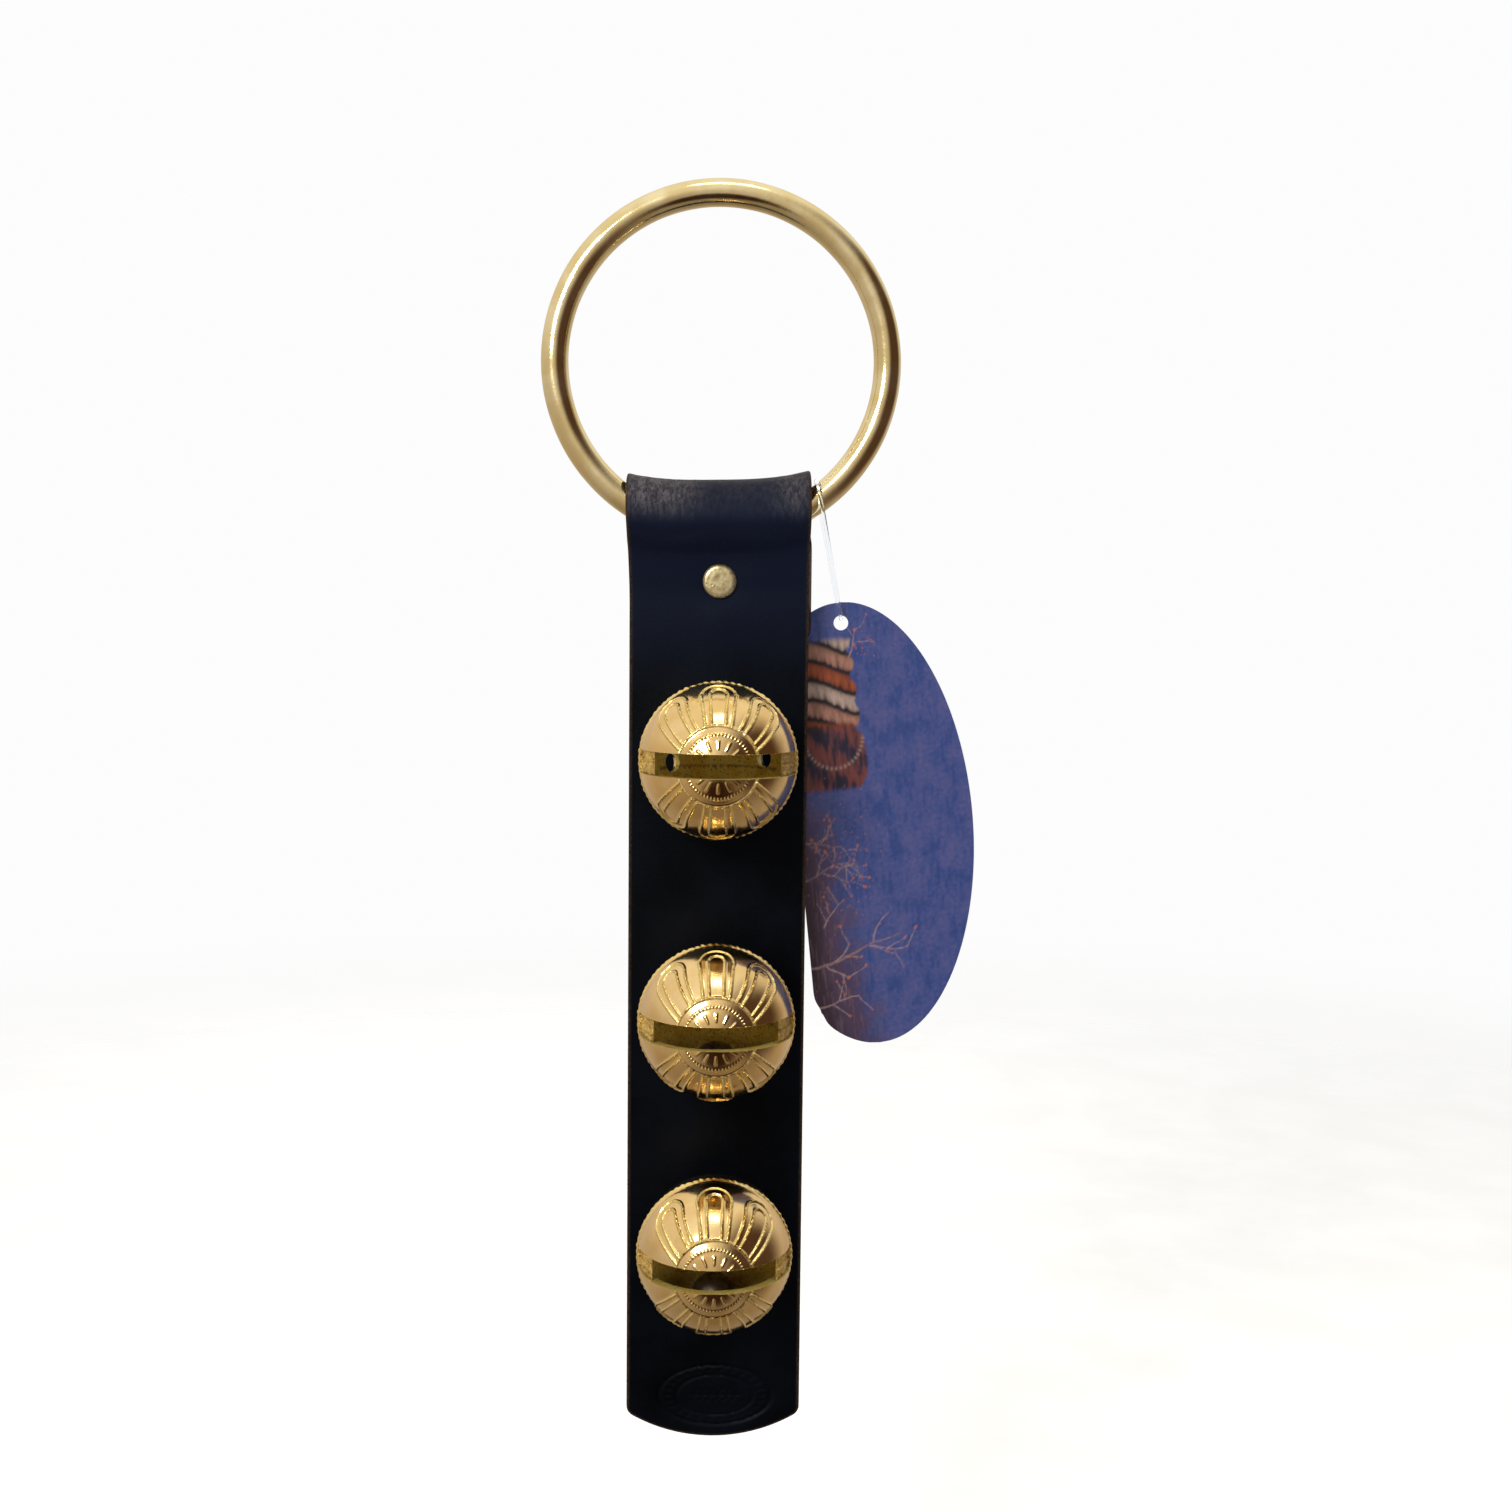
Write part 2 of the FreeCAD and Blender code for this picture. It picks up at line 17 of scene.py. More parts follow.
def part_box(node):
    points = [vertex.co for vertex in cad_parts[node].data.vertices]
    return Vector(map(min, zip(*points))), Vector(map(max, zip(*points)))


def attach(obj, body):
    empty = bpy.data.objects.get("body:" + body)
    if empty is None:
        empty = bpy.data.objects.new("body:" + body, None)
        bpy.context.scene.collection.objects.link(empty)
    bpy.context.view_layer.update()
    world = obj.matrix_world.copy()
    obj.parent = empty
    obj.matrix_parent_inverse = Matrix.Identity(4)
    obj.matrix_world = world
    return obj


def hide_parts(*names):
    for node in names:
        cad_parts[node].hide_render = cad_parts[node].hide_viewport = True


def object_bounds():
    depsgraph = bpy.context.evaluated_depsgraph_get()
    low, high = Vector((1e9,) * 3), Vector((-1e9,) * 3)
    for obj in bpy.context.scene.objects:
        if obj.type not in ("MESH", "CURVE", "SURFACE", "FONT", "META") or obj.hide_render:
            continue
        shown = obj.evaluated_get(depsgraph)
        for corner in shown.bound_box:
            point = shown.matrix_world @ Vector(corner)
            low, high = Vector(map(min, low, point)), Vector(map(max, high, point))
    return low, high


MM = 0.001
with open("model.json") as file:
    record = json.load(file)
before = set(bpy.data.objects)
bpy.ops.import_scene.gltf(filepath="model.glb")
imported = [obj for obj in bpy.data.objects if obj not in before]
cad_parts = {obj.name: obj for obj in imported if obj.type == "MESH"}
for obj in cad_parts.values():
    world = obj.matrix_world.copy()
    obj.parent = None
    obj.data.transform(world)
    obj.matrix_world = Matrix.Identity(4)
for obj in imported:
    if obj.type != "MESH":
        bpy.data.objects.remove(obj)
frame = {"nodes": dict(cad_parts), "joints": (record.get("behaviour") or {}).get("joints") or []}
cad_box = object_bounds()

# Sizes that a node's box doesn't tell.
LEATHER = 3.2
LAYER_GAP = 0.1
FOLD_TOP = -25.8
FOLD_NECK = -42.2
FOLD_HALF_ROOM = 5.4
TIP_RISE = 5.5
TIP_CORNER = 2.5
TAIL_END = -60.6
BELL_WALL = 2.0
SLOT_HALF_HEIGHT = 2.4
SLOT_HALF_LENGTH = 12.5
SOUND_HOLE_ANGLE = 44.0
COLLAR_REACH = 17.5
SHANK_CLEARANCE = 0.08
TAG_HALF_HEIGHT = 49.0
TAG_HALF_WIDTH = 25.0
TAG_FLAT_SIDE = 13.7
TAG_CORNER = 4.0
TAG_TILT = 6.2
TAG_HOLE = 3.2
TAG_HOLE_INSET = 4.5
LOOP_WIRE = 0.8
COTTER_WIRE = 1.1


# ---- Places, read from the frame ----

def box_mm(node):
    return [np.array(corner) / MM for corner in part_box(node)]


def middle(node):
    return sum(box_mm(node)) / 2


def half_size(node):
    low, high = box_mm(node)
    return (high - low) / 2


def joint_place(name):
    joint = next(joint for joint in frame["joints"] if joint["name"] == name)
    return np.array(joint["pos_m"]) / MM


# ---- Meshes ----

def ease(value, low, high):
    """0 below low, 1 above high and a smooth rise between."""
    share = np.clip((value - low) / (high - low), 0, 1)
    return share * share * (3 - 2 * share)


def hump(distance, width):
    return np.exp(-(distance / width) ** 2)


def rough(points, size, octaves=3, shift=0.0):
    """Smooth noise of about -1 to 1 at each point, with features of the given size."""
    return np.array([noise.fractal(Vector(point), 1.0, 2.0, octaves) for point in points / size + shift])


def rows_of(*parts):
    """Points, or other rows of values, from arrays of their parts."""
    return np.stack(np.broadcast_arrays(*parts), axis=-1).reshape(-1, len(parts))


def full_turn(count):
    return np.linspace(0, 2 * pi, count, endpoint=False)


def grid_faces(rows, columns, wrap=False, loop=False):
    """Quads of a grid stored row by row; wrap joins the last column to the first, and loop the rows."""
    index = np.arange(rows * columns).reshape(rows, columns)
    if wrap:
        index = np.column_stack([index, index[:, 0]])
    if loop:
        index = np.vstack([index, index[:1]])
    corners = (index[:-1, :-1], index[:-1, 1:], index[1:, 1:], index[1:, :-1])
    return np.stack([corner.ravel() for corner in corners], axis=1)


def put(name, data):
    """A new object in the scene."""
    thing = bpy.data.objects.new(name, data)
    bpy.context.scene.collection.objects.link(thing)
    return thing


def add_mesh(name, points, faces):
    """A welded, closed mesh with its faces turned outwards, made from points in millimetres."""
    mesh = bpy.data.meshes.new(name)
    faces = faces.tolist() if isinstance(faces, np.ndarray) else faces
    mesh.from_pydata((np.asarray(points, float) * MM).tolist(), [], faces)
    work = bmesh.new()
    work.from_mesh(mesh)
    bmesh.ops.remove_doubles(work, verts=work.verts, dist=1e-6)
    bmesh.ops.dissolve_degenerate(work, edges=work.edges, dist=1e-7)
    bmesh.ops.recalc_face_normals(work, faces=work.faces)
    work.to_mesh(mesh)
    work.free()
    return put(name, mesh)


def read(items, field):
    """One vector of every item, as the rows of an array."""
    values = np.empty(len(items) * 3, np.float32)
    items.foreach_get(field, values)
    return values.reshape(-1, 3).astype(float)


def points_of(piece):
    return read(piece.data.vertices, "co") / MM


def store(piece, name, values):
    attribute = piece.data.attributes.new(name, "FLOAT", "POINT")
    attribute.data.foreach_set("value", np.asarray(values, np.float32))


def combine(piece, cutters, added=()):
    """Join tools to a piece, cut others out of it, and drop them all."""
    steps = [("UNION", tool) for tool in added] + [("DIFFERENCE", tool) for tool in cutters]
    for operation, tool in steps:
        modifier = piece.modifiers.new("combine", "BOOLEAN")
        modifier.operation = operation
        modifier.object = tool
        modifier.solver = "MANIFOLD"
    graph = bpy.context.evaluated_depsgraph_get()
    mesh = bpy.data.meshes.new_from_object(piece.evaluated_get(graph), depsgraph=graph)
    piece.modifiers.clear()
    piece.data = mesh
    for _, tool in steps:
        bpy.data.objects.remove(tool)


def turn_about(piece, axis, angle):
    piece.data.transform(Matrix.Rotation(radians(angle), 4, axis))


def move(piece, place):
    piece.data.transform(Matrix.Translation(np.array(place) * MM))


def dress(piece, *materials, sharp=50):
    """Give a piece its materials, and smooth shading that breaks where faces meet at a sharp angle."""
    piece.data.polygons.foreach_set("use_smooth", np.ones(len(piece.data.polygons), bool))
    piece.data.set_sharp_from_angle(angle=radians(sharp))
    piece.data.materials.clear()
    for material in materials:
        piece.data.materials.append(material)


def mount(piece, body, node):
    """Ride the piece on its body and let it stand for its CAD node."""
    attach(piece, body)
    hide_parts(node)


def lathe(name, profile, columns, place=(0, 0, 0)):
    """A body of revolution about Y from (radius, y) pairs that start and end on the axis, or meet."""
    profile = np.array(profile, float)
    radius, along = profile[:, :1], profile[:, 1:]
    turn = full_turn(columns)
    points = rows_of(radius * np.sin(turn), along, radius * np.cos(turn)) + place
    return add_mesh(name, points, grid_faces(len(profile), columns, wrap=True))


def tube(name, path, section, closed=False):
    """Sweep a section, given as (outwards, sideways) pairs, along a path without twisting it."""
    path = np.array(path, float)
    ahead = np.roll(path, -1, axis=0) - np.roll(path, 1, axis=0)
    if not closed:
        ahead[0] = path[1] - path[0]
        ahead[-1] = path[-1] - path[-2]
    ahead /= np.linalg.norm(ahead, axis=1)[:, None]
    plane = np.linalg.svd(path - path.mean(0))[2][2]
    plane = plane * np.sign(plane[1] + 1e-9)
    points = []
    for place, out in zip(path, np.cross(ahead, plane)):
        points += [place + out * outer + plane * side for outer, side in section]
    rows, columns = len(path), len(section)
    faces = grid_faces(rows, columns, wrap=True, loop=closed).tolist()
    if not closed:
        faces += [list(range(columns)), list(range((rows - 1) * columns, rows * columns))]
    return add_mesh(name, points, faces)


# ---- Materials ----

def tone(red, green, blue):
    """A colour as seen on a screen, from 0 to 255, turned into the renderer's own values."""
    return tuple((channel / 255) ** 2.2 for channel in (red, green, blue)) + (1.0,)


class Nodes:
    """The node tree of a material or world: each method adds nodes and returns the last one's output."""

    def __init__(self, owner):
        owner.use_nodes = True
        self.tree = owner.node_tree
        self.tree.nodes.clear()

    def add(self, kind, output=0, inputs=None, **settings):
        node = self.tree.nodes.new("ShaderNode" + kind)
        for name, value in settings.items():
            setattr(node, name, value)
        for name, value in (inputs or {}).items():
            if isinstance(value, bpy.types.NodeSocket):
                self.tree.links.new(value, node.inputs[name])
            else:
                node.inputs[name].default_value = value
        return node.outputs[output] if node.outputs else None

    def maths(self, operation, first, second, clamp=False):
        return self.add("Math", 0, {0: first, 1: second}, operation=operation, use_clamp=clamp)

    def times(self, first, second):
        return self.maths("MULTIPLY", first, second)

    def plus(self, value, more, share, clamp=False):
        return self.maths("ADD", value, self.times(more, share), clamp)

    def span(self, value, low, high, to_low=0.0, to_high=1.0):
        """The value's span from low to high, spread over another span and held at its ends."""
        inputs = {"Value": value, "From Min": low, "From Max": high, "To Min": to_low, "To Max": to_high}
        return self.add("MapRange", 0, inputs, interpolation_type="SMOOTHSTEP")

    def blend(self, share, first, second, mode="MIX"):
        return self.add("Mix", 2, {0: share, 6: first, 7: second}, data_type="RGBA", blend_type=mode)

    def mottle(self, value, low, high, first, second):
        """The first colour where the value is low, the second where it is high."""
        return self.blend(self.span(value, low, high), first, second)

    def either(self, share, first, second):
        return self.add("MixShader", 0, {0: share, 1: first, 2: second})


class Finish(Nodes):
    """One material's node tree."""

    def __init__(self, name):
        self.material = bpy.data.materials.new(name)
        super().__init__(self.material)
        self.place = self.add("TexCoord", "Object")

    def stretched(self, x, y, z):
        return self.add("VectorMath", 0, {0: self.place, 1: (x, y, z)}, operation="MULTIPLY")

    def noise(self, size, detail=5, share=0.55, place=None, bend=0.0):
        """Noise from 0 to 1 with features of the given size in millimetres."""
        inputs = {"Vector": place or self.place, "Scale": 1 / (size * MM), "Detail": detail,
                  "Roughness": share, "Distortion": bend}
        return self.add("TexNoise", "Fac", inputs)

    def cells(self, size, feature="F1", place=None):
        inputs = {"Vector": place or self.place, "Scale": 1 / (size * MM)}
        return self.add("TexVoronoi", "Distance", inputs, feature=feature)

    def mask(self, name, output="Fac"):
        """What the mesh stores under this name."""
        return self.add("Attribute", output, attribute_name=name)

    def bumps(self, *layers):
        """Relief from (height from 0 to 1, depth in millimetres, strength) layers, each over the last."""
        normal = None
        for height, depth, *strength in layers:
            inputs = {"Height": height, "Distance": depth * MM}
            inputs["Strength"] = strength[0] if strength else 1.0
            if normal:
                inputs["Normal"] = normal
            normal = self.add("Bump", 0, inputs)
        return normal

    def done(self, **surface):
        inputs = {name.replace("_", " "): value for name, value in surface.items()}
        return self.output(self.add("BsdfPrincipled", 0, inputs))

    def output(self, shader):
        self.add("OutputMaterial", 0, {"Surface": shader})
        return self.material


def polished_brass(name, warm, pale, worn, polish):
    """Bright plated brass: faint clouding, fine wiping marks, slightly grainy raised lines that are rubbed
    lighter and given a painted highlight, and painted shade in the creases beside them.
    """
    finish = Finish(name)
    cloud = finish.noise(7.0)
    skin = finish.noise(0.9, detail=3)
    grain = finish.noise(0.16, detail=2)
    wiping = finish.noise(0.35, detail=2, place=finish.stretched(0.15, 1.0, 1.0), bend=0.4)
    relief, crease = finish.mask("relief"), finish.mask("crease")
    colour = finish.mottle(cloud, 0.35, 0.65, warm, pale)
    # The raised lines and seam bead: lighter and yellower, partly rubbed and partly a painted highlight.
    colour = finish.blend(finish.times(relief, 0.65), colour, worn)
    # Painted shade: the creases beside the raised lines are darkened.
    colour = finish.blend(finish.times(crease, 0.45), colour, tone(112, 74, 26))
    gloss = finish.span(cloud, 0.3, 0.7, polish * 0.7, polish * 1.4)
    gloss = finish.plus(finish.plus(gloss, wiping, 0.05), relief, 0.12)
    surface = finish.bumps((skin, 0.012), (wiping, 0.003), (finish.times(grain, relief), 0.03))
    return finish.done(Base_Color=colour, Metallic=1.0, Roughness=gloss, Normal=surface)


def cast_brass(name, low, high, roughness, grit, metallic):
    """Brass as it left the sand: granular, blotched and dull, with painted shade darkening it where the
    mesh marks it.
    """
    finish = Finish(name)
    blotch = finish.noise(2.6)
    grain = finish.noise(0.6, share=0.7)
    pits = finish.cells(0.7)
    colour = finish.mottle(blotch, 0.3, 0.7, low, high)
    colour = finish.mottle(grain, 0.35, 0.7, colour, high)
    colour = finish.mottle(pits, 0.30, 0.05, colour, tone(112, 78, 22))
    # Painted shade: darker brown where the shade mask is set.
    colour = finish.blend(finish.times(finish.mask("painted_shade"), 0.78), colour, tone(72, 42, 12))
    gloss = finish.span(grain, 0.2, 0.8, roughness + 0.12, roughness - 0.1)
    surface = finish.bumps((grain, grit), (pits, grit * 0.6))
    return finish.done(Base_Color=colour, Metallic=metallic, Roughness=gloss, Normal=surface)


def black_leather():
    """Smooth dyed leather: pebbled grain, crackled over the fold under a painted sheen, a painted lighter
    navy sheen on the upper strap, burnished edges, a fibrous inner face.
    """
    finish = Finish("black_leather")
    inner, edge, strain_and_sheen = finish.mask("inner"), finish.mask("edge"), finish.mask("strain_and_sheen")
    cloud = finish.noise(16.0, detail=4)
    pebble = finish.cells(0.75, "SMOOTH_F1")
    pores = finish.noise(0.3, detail=4, share=0.65)
    lengthwise = finish.noise(0.75, detail=4, place=finish.stretched(1.0, 0.5, 0.34), bend=0.5)
    crackle = finish.cells(0.5, "DISTANCE_TO_EDGE", place=finish.stretched(1.0, 0.6, 0.4))
    cracks = finish.span(crackle, 0.0, 0.14, 0.55, 1.0)
    fibre = finish.noise(0.5, detail=6, share=0.75, bend=1.2)

    dye_and_sheen = finish.mottle(cloud, 0.3, 0.7, tone(7, 8, 11), tone(11, 13, 19))
    # Painted sheen: a lighter navy over the upper strap, from below the rivet up over the fold.
    height = finish.add("SeparateXYZ", "Z", {0: finish.place})
    dye_and_sheen = finish.mottle(height, -0.075, -0.040, dye_and_sheen, tone(19, 23, 36))
    # Painted sheen: a lighter grey over the fold's top, crackled, where the strain mask is set.
    fold_sheen = finish.mottle(lengthwise, 0.35, 0.7, tone(46, 44, 48), tone(80, 76, 78))
    rubbed = finish.mottle(fibre, 0.35, 0.7, tone(20, 17, 16), tone(64, 50, 38))
    flesh = finish.mottle(fibre, 0.3, 0.7, tone(26, 25, 27), tone(52, 47, 45))
    colour = finish.blend(finish.times(strain_and_sheen, cracks), dye_and_sheen, fold_sheen)
    colour = finish.blend(inner, finish.blend(edge, colour, rubbed), flesh)

    gloss = finish.plus(finish.span(cloud, 0.3, 0.7, 0.38, 0.47), pores, 0.08)
    gloss = finish.plus(gloss, inner, 0.4, clamp=True)
    surface = finish.bumps((pebble, 0.035, 0.7), (pores, 0.02), (finish.times(cracks, strain_and_sheen), 0.09),
                           (finish.times(lengthwise, strain_and_sheen), 0.14), (finish.times(fibre, inner), 0.3))
    return finish.done(Base_Color=colour, Roughness=gloss, Normal=surface, Specular_IOR_Level=0.07,
                       Specular_Tint=(0.72, 0.84, 1.0, 1.0))


def rubbed_rivet():
    """Dull brass with dark pits and pale rubbed patches."""
    finish = Finish("rivet_brass")
    patch = finish.noise(1.5, share=0.65)
    pits = finish.cells(0.8)
    streak = finish.noise(0.5, detail=3, place=finish.stretched(0.4, 1.0, 1.0), bend=1.5)
    colour = finish.mottle(patch, 0.32, 0.68, tone(146, 130, 90), tone(208, 197, 160))
    colour = finish.mottle(streak, 0.58, 0.75, colour, tone(164, 132, 88))
    colour = finish.mottle(pits, 0.22, 0.05, colour, tone(72, 62, 44))
    gloss = finish.span(patch, 0.3, 0.7, 0.5, 0.3)
    surface = finish.bumps((patch, 0.025), (finish.span(pits, 0.05, 0.25), 0.03))
    return finish.done(Base_Color=colour, Metallic=0.9, Roughness=gloss, Normal=surface)


def bare_steel(name, low, high, roughness):
    """Steel with faint staining and tumbling marks."""
    finish = Finish(name)
    stain = finish.noise(2.2, share=0.6)
    marks = finish.noise(0.3, detail=3, place=finish.stretched(1.0, 0.4, 0.4), bend=0.8)
    colour = finish.mottle(stain, 0.3, 0.7, low, high)
    gloss = finish.plus(finish.span(stain, 0.3, 0.7, roughness + 0.1, roughness - 0.08), marks, 0.1)
    surface = finish.bumps((marks, 0.012))
    return finish.done(Base_Color=colour, Metallic=1.0, Roughness=gloss, Normal=surface)


def clear_plastic():
    """A clear moulded strand with faint drawing marks."""
    finish = Finish("clear_plastic")
    ripple = finish.noise(0.8, detail=2)
    gloss = finish.span(ripple, 0.3, 0.7, 0.03, 0.12)
    return finish.done(Base_Color=tone(250, 252, 255), Transmission_Weight=1.0, IOR=1.42, Roughness=gloss,
                       Normal=finish.bumps((ripple, 0.02)))


def printed_card():
    """Coated card: the printed side shows its picture, and the rest is bare white board."""
    finish = Finish("printed_card")
    board = finish.noise(0.4, share=0.7)
    dots = finish.noise(0.7, share=0.7, bend=0.6)
    printed = finish.mask("printed")
    bare = finish.mottle(board, 0.3, 0.7, tone(226, 223, 214), tone(240, 238, 231))
    faded = finish.span(dots, 0.3, 0.7, 0.0, 0.30)
    ink = finish.blend(faded, finish.mask("picture", "Color"), tone(190, 190, 205), mode="MULTIPLY")
    gloss = finish.maths("SUBTRACT", 0.62, finish.times(printed, 0.24))
    return finish.done(Base_Color=finish.blend(printed, bare, ink), Roughness=gloss,
                       Normal=finish.bumps((board, 0.012)), Specular_IOR_Level=0.35)


# ---- Hanging ring ----

def make_ring(material):
    """Round wire bent into a ring: true, but with the faint waviness of bent and plated wire."""
    outer, wire, _ = half_size("hanging_ring")
    rows, columns = 360, 48
    round_ring, round_wire = full_turn(rows)[:, None], full_turn(columns)
    thick = wire + 0.012 * np.sin(7 * round_ring + 1.3) + 0.008 * np.sin(17 * round_ring + 2 * round_wire)
    reach = outer - wire + thick * np.cos(round_wire)
    points = rows_of(reach * np.sin(round_ring), thick * np.sin(round_wire), reach * np.cos(round_ring))
    ring = add_mesh("ring_wire", points, grid_faces(rows, columns, wrap=True, loop=True))
    dress(ring, material, sharp=180)
    mount(ring, "ring", "hanging_ring")


# ---- Leather strap ----

class BowedEnd:
    """The rounded lower end of a leather layer: a shallow bow whose two corners are rounded."""

    def __init__(self, half_width, end, rise):
        self.half_width = half_width
        self.bow = (half_width ** 2 + rise ** 2) / (2 * rise)
        self.bow_z = end + self.bow
        self.corner_x = half_width - TIP_CORNER
        self.corner_z = self.bow_z - sqrt((self.bow - TIP_CORNER) ** 2 - self.corner_x ** 2)
        self.touch_x = self.corner_x * self.bow / (self.bow - TIP_CORNER)

    def height(self, x):
        """The end's height at x."""
        x = np.abs(x)
        on_bow = self.bow_z - np.sqrt(self.bow ** 2 - np.minimum(x, self.touch_x) ** 2)
        across = np.clip(x - self.corner_x, 0, TIP_CORNER)
        on_corner = self.corner_z - np.sqrt(TIP_CORNER ** 2 - across ** 2)
        return np.where(x < self.touch_x, on_bow, on_corner)

    def inset(self, x, z):
        """How far a point lies inside the layer's outline."""
        x = np.abs(x)
        plain = np.minimum(self.half_width - x, self.bow - np.hypot(x, np.minimum(z - self.bow_z, 0)))
        right, below = x - self.corner_x, self.corner_z - z
        lean = right * (self.bow_z - self.corner_z) > self.corner_x * below
        in_corner = (right > 0) & (below > 0) & lean
        return np.maximum(np.where(in_corner, TIP_CORNER - np.hypot(right, below), plain), 0)


def spaced(total, fine, coarse, fine_reach):
    """Distances from 0 to total: closest at the edge's rounding, fine up to fine_reach, then coarse."""
    edge = [0.0, 0.05, 0.14, 0.27, 0.45]
    near = np.arange(edge[-1] + fine, fine_reach, fine)
    far = np.linspace(fine_reach, total, int((total - fine_reach) / coarse) + 1)
    return np.concatenate([edge, near, far])


def arc(centre, radius, angles, outward=1):
    """Places in the YZ plane along an arc, each with its outward normal."""
    turns = [np.array([cos(angle), sin(angle)]) for angle in angles]
    return [(np.array(centre) + radius * turn, outward * turn) for turn in turns]


def fold_stations():
    """The fold's flesh side in the YZ plane from the front neck to the rear neck, with outward normals."""
    flat = LAYER_GAP / 2
    arch_z = FOLD_TOP - LEATHER - FOLD_HALF_ROOM
    bend = 2 * atan((FOLD_HALF_ROOM - flat) / (arch_z - FOLD_NECK))
    radius = (arch_z - FOLD_NECK) / (2 * sin(bend))
    rear = arc((0, arch_z), FOLD_HALF_ROOM, np.linspace(pi / 2, 0, 22))
    rear += arc((FOLD_HALF_ROOM - radius, arch_z), radius, np.linspace(0, -bend, 14)[1:])
    rear += arc((flat + radius, FOLD_NECK), radius, np.linspace(pi - bend, pi, 14)[1:], outward=-1)
    mirror = (-1, 1)
    return [(place * mirror, out * mirror) for place, out in rear[:0:-1]] + rear


def layer_rows(across, end, neck, face, *spacing):
    """Rows of a flat layer from its end to the neck: y, z, outward normal and the outline's inset."""
    low = end.height(across)
    distances = spaced(neck - end.height(0), *spacing)
    heights = [low + (neck - low) * distance / distances[-1] for distance in distances[:-1]]
    return [(face * LAYER_GAP / 2, z, face, 0.0, end.inset(across, z)) for z in heights]


def strap_grid(half_width, tip, tail):
    """Grids of the flesh side from tip to tail: x, y, z, its normal's y and z, the outline's inset."""
    edge = spaced(half_width, 0.4, 0.4, 2.0)
    across = np.concatenate([-half_width + edge, (half_width - edge)[-2::-1]])
    stations = fold_stations()
    neck = stations[0][0][1]
    rows = layer_rows(across, tip, neck, -1.0, 0.32, 0.9, 20.0)
    rows += [(*place, *out, half_width - np.abs(across)) for place, out in stations]
    rows += layer_rows(across, tail, neck, 1.0, 0.5, 0.7, 2.0)[::-1]
    return np.array([np.broadcast_arrays(across, *row) for row in rows]).transpose(1, 0, 2)


def stamp_depth(x, z, centre):
    """A plain pressed ornament: two oval lines, a ring of dots and a sprig."""
    right, up = x - centre[0], z - centre[1]
    half_wide, half_high, line_scale = 12.8, 6.9, 8.5
    reach = np.hypot(right / half_wide, up / half_high)
    turn = np.arctan2(up / half_high, right / half_wide)
    depth = 0.38 * hump((reach - 0.97) * line_scale, 0.32) + 0.28 * hump((reach - 0.66) * line_scale, 0.26)
    dots = np.maximum(np.cos(turn * 26), 0) ** 1.5
    depth += 0.22 * dots * hump((reach - 0.815) * line_scale, 0.5)
    depth += 0.26 * hump(up, 0.28) * ease(-np.abs(right), -6.2, -5.0)
    leaf = np.abs(np.mod(right, 1.8) - 0.9)
    leaf_line = hump(np.abs(up) - 0.4 - leaf * 1.3, 0.3)
    depth += 0.2 * leaf_line * ease(-np.abs(right), -5.6, -4.6) * ease(-np.abs(up), -2.2, -1.2)
    return np.minimum(depth, 0.42) + 0.07 * ease(-reach, -1.04, -0.94)


def leather_relief(x, y, z, strain_and_sheen, rivet, stamp):
    """How far the grain side stands above its nominal place."""
    right, up = x - rivet[0], z - rivet[2]
    relief = -0.38 * hump(np.hypot(right, up * 0.9), 5.4)
    relief += 0.22 * hump(np.hypot(right, (up + 7.4) * 1.1), 4.2)
    relief -= np.where((y < 0) & (z < FOLD_NECK), stamp_depth(x, z, stamp), 0)
    points = rows_of(x, y, z)
    relief += 0.10 * rough(points, 34.0, 2).reshape(x.shape)
    wrinkles = rough(points * (1.0, 0.5, 0.28), 1.5, shift=3.7).reshape(x.shape)
    return relief + 0.07 * strain_and_sheen * wrinkles


def relax_creases(side, z):
    """Ease the grain side's sharp inward bends at the necks, where thick leather only bends gently."""
    height = z[:, z.shape[1] // 2]
    near = ease(-np.abs(height - FOLD_NECK - 0.8), -7.0, -3.0)[1:-1, None]
    passes = 70
    for _ in range(passes):
        for values in side:
            eased = (values[:-2] + 2 * values[1:-1] + values[2:]) / 4
            values[1:-1] += near * (eased - values[1:-1])


def fold_strain_and_sheen(x, z):
    """How taut the grain is where it goes over the ring, and how strong the painted sheen is there: hardest
    at the left of the fold.
    """
    height = ease(z, FOLD_TOP - 9.0, FOLD_TOP - 1.5)
    patch = 0.15 + 0.85 * ease(-x, 1.0, 11.0) + 0.5 * ease(x, 9.0, 16.0)
    return height * np.clip(patch, 0, 1)


def fold_lift(x, is_flesh):
    """The fold bridges the ring almost straight: its ends ride up on the wire, the right one higher."""
    out = x / 19.0
    lift = 1.35 + 1.7 * np.abs(out) ** 3 + 0.5 * out
    return lift + 0.55 * is_flesh * ease(np.abs(x), 14.0, 19.0)


def draped(x, y, z, is_flesh):
    """Lift the fold, make it roomier and flare its left end, and lay the tail slightly to the right."""
    low, high = (FOLD_NECK + 2.0, FOLD_TOP - 4.0) if is_flesh else (FOLD_NECK - 13.0, FOLD_NECK)
    flare = 1 + np.where(x < 0, 0.035, 0.0) * ease(z, FOLD_NECK - 10.0, FOLD_TOP - 4.0)
    roomy = 1 + 0.09 * ease(z, FOLD_NECK - 3.0, FOLD_NECK + 4.0)
    aside = 0.8 * ease(y, 0.0, 3.0) * ease(-z, 33.0, 42.0)
    swell = 1.5 * hump(z - FOLD_NECK, 4.6) * (1 - 0.8 * hump(x, 6.0))
    return x * flare + aside, y * roomy - swell * (y < 0), z + fold_lift(x, is_flesh) * ease(z, low, high)


def edge_fall(inset, radius):
    """How far a rounded edge falls below its face, by the distance inside the outline."""
    over = radius - np.minimum(inset, radius)
    return radius - np.sqrt(np.maximum(radius ** 2 - over ** 2, 0))


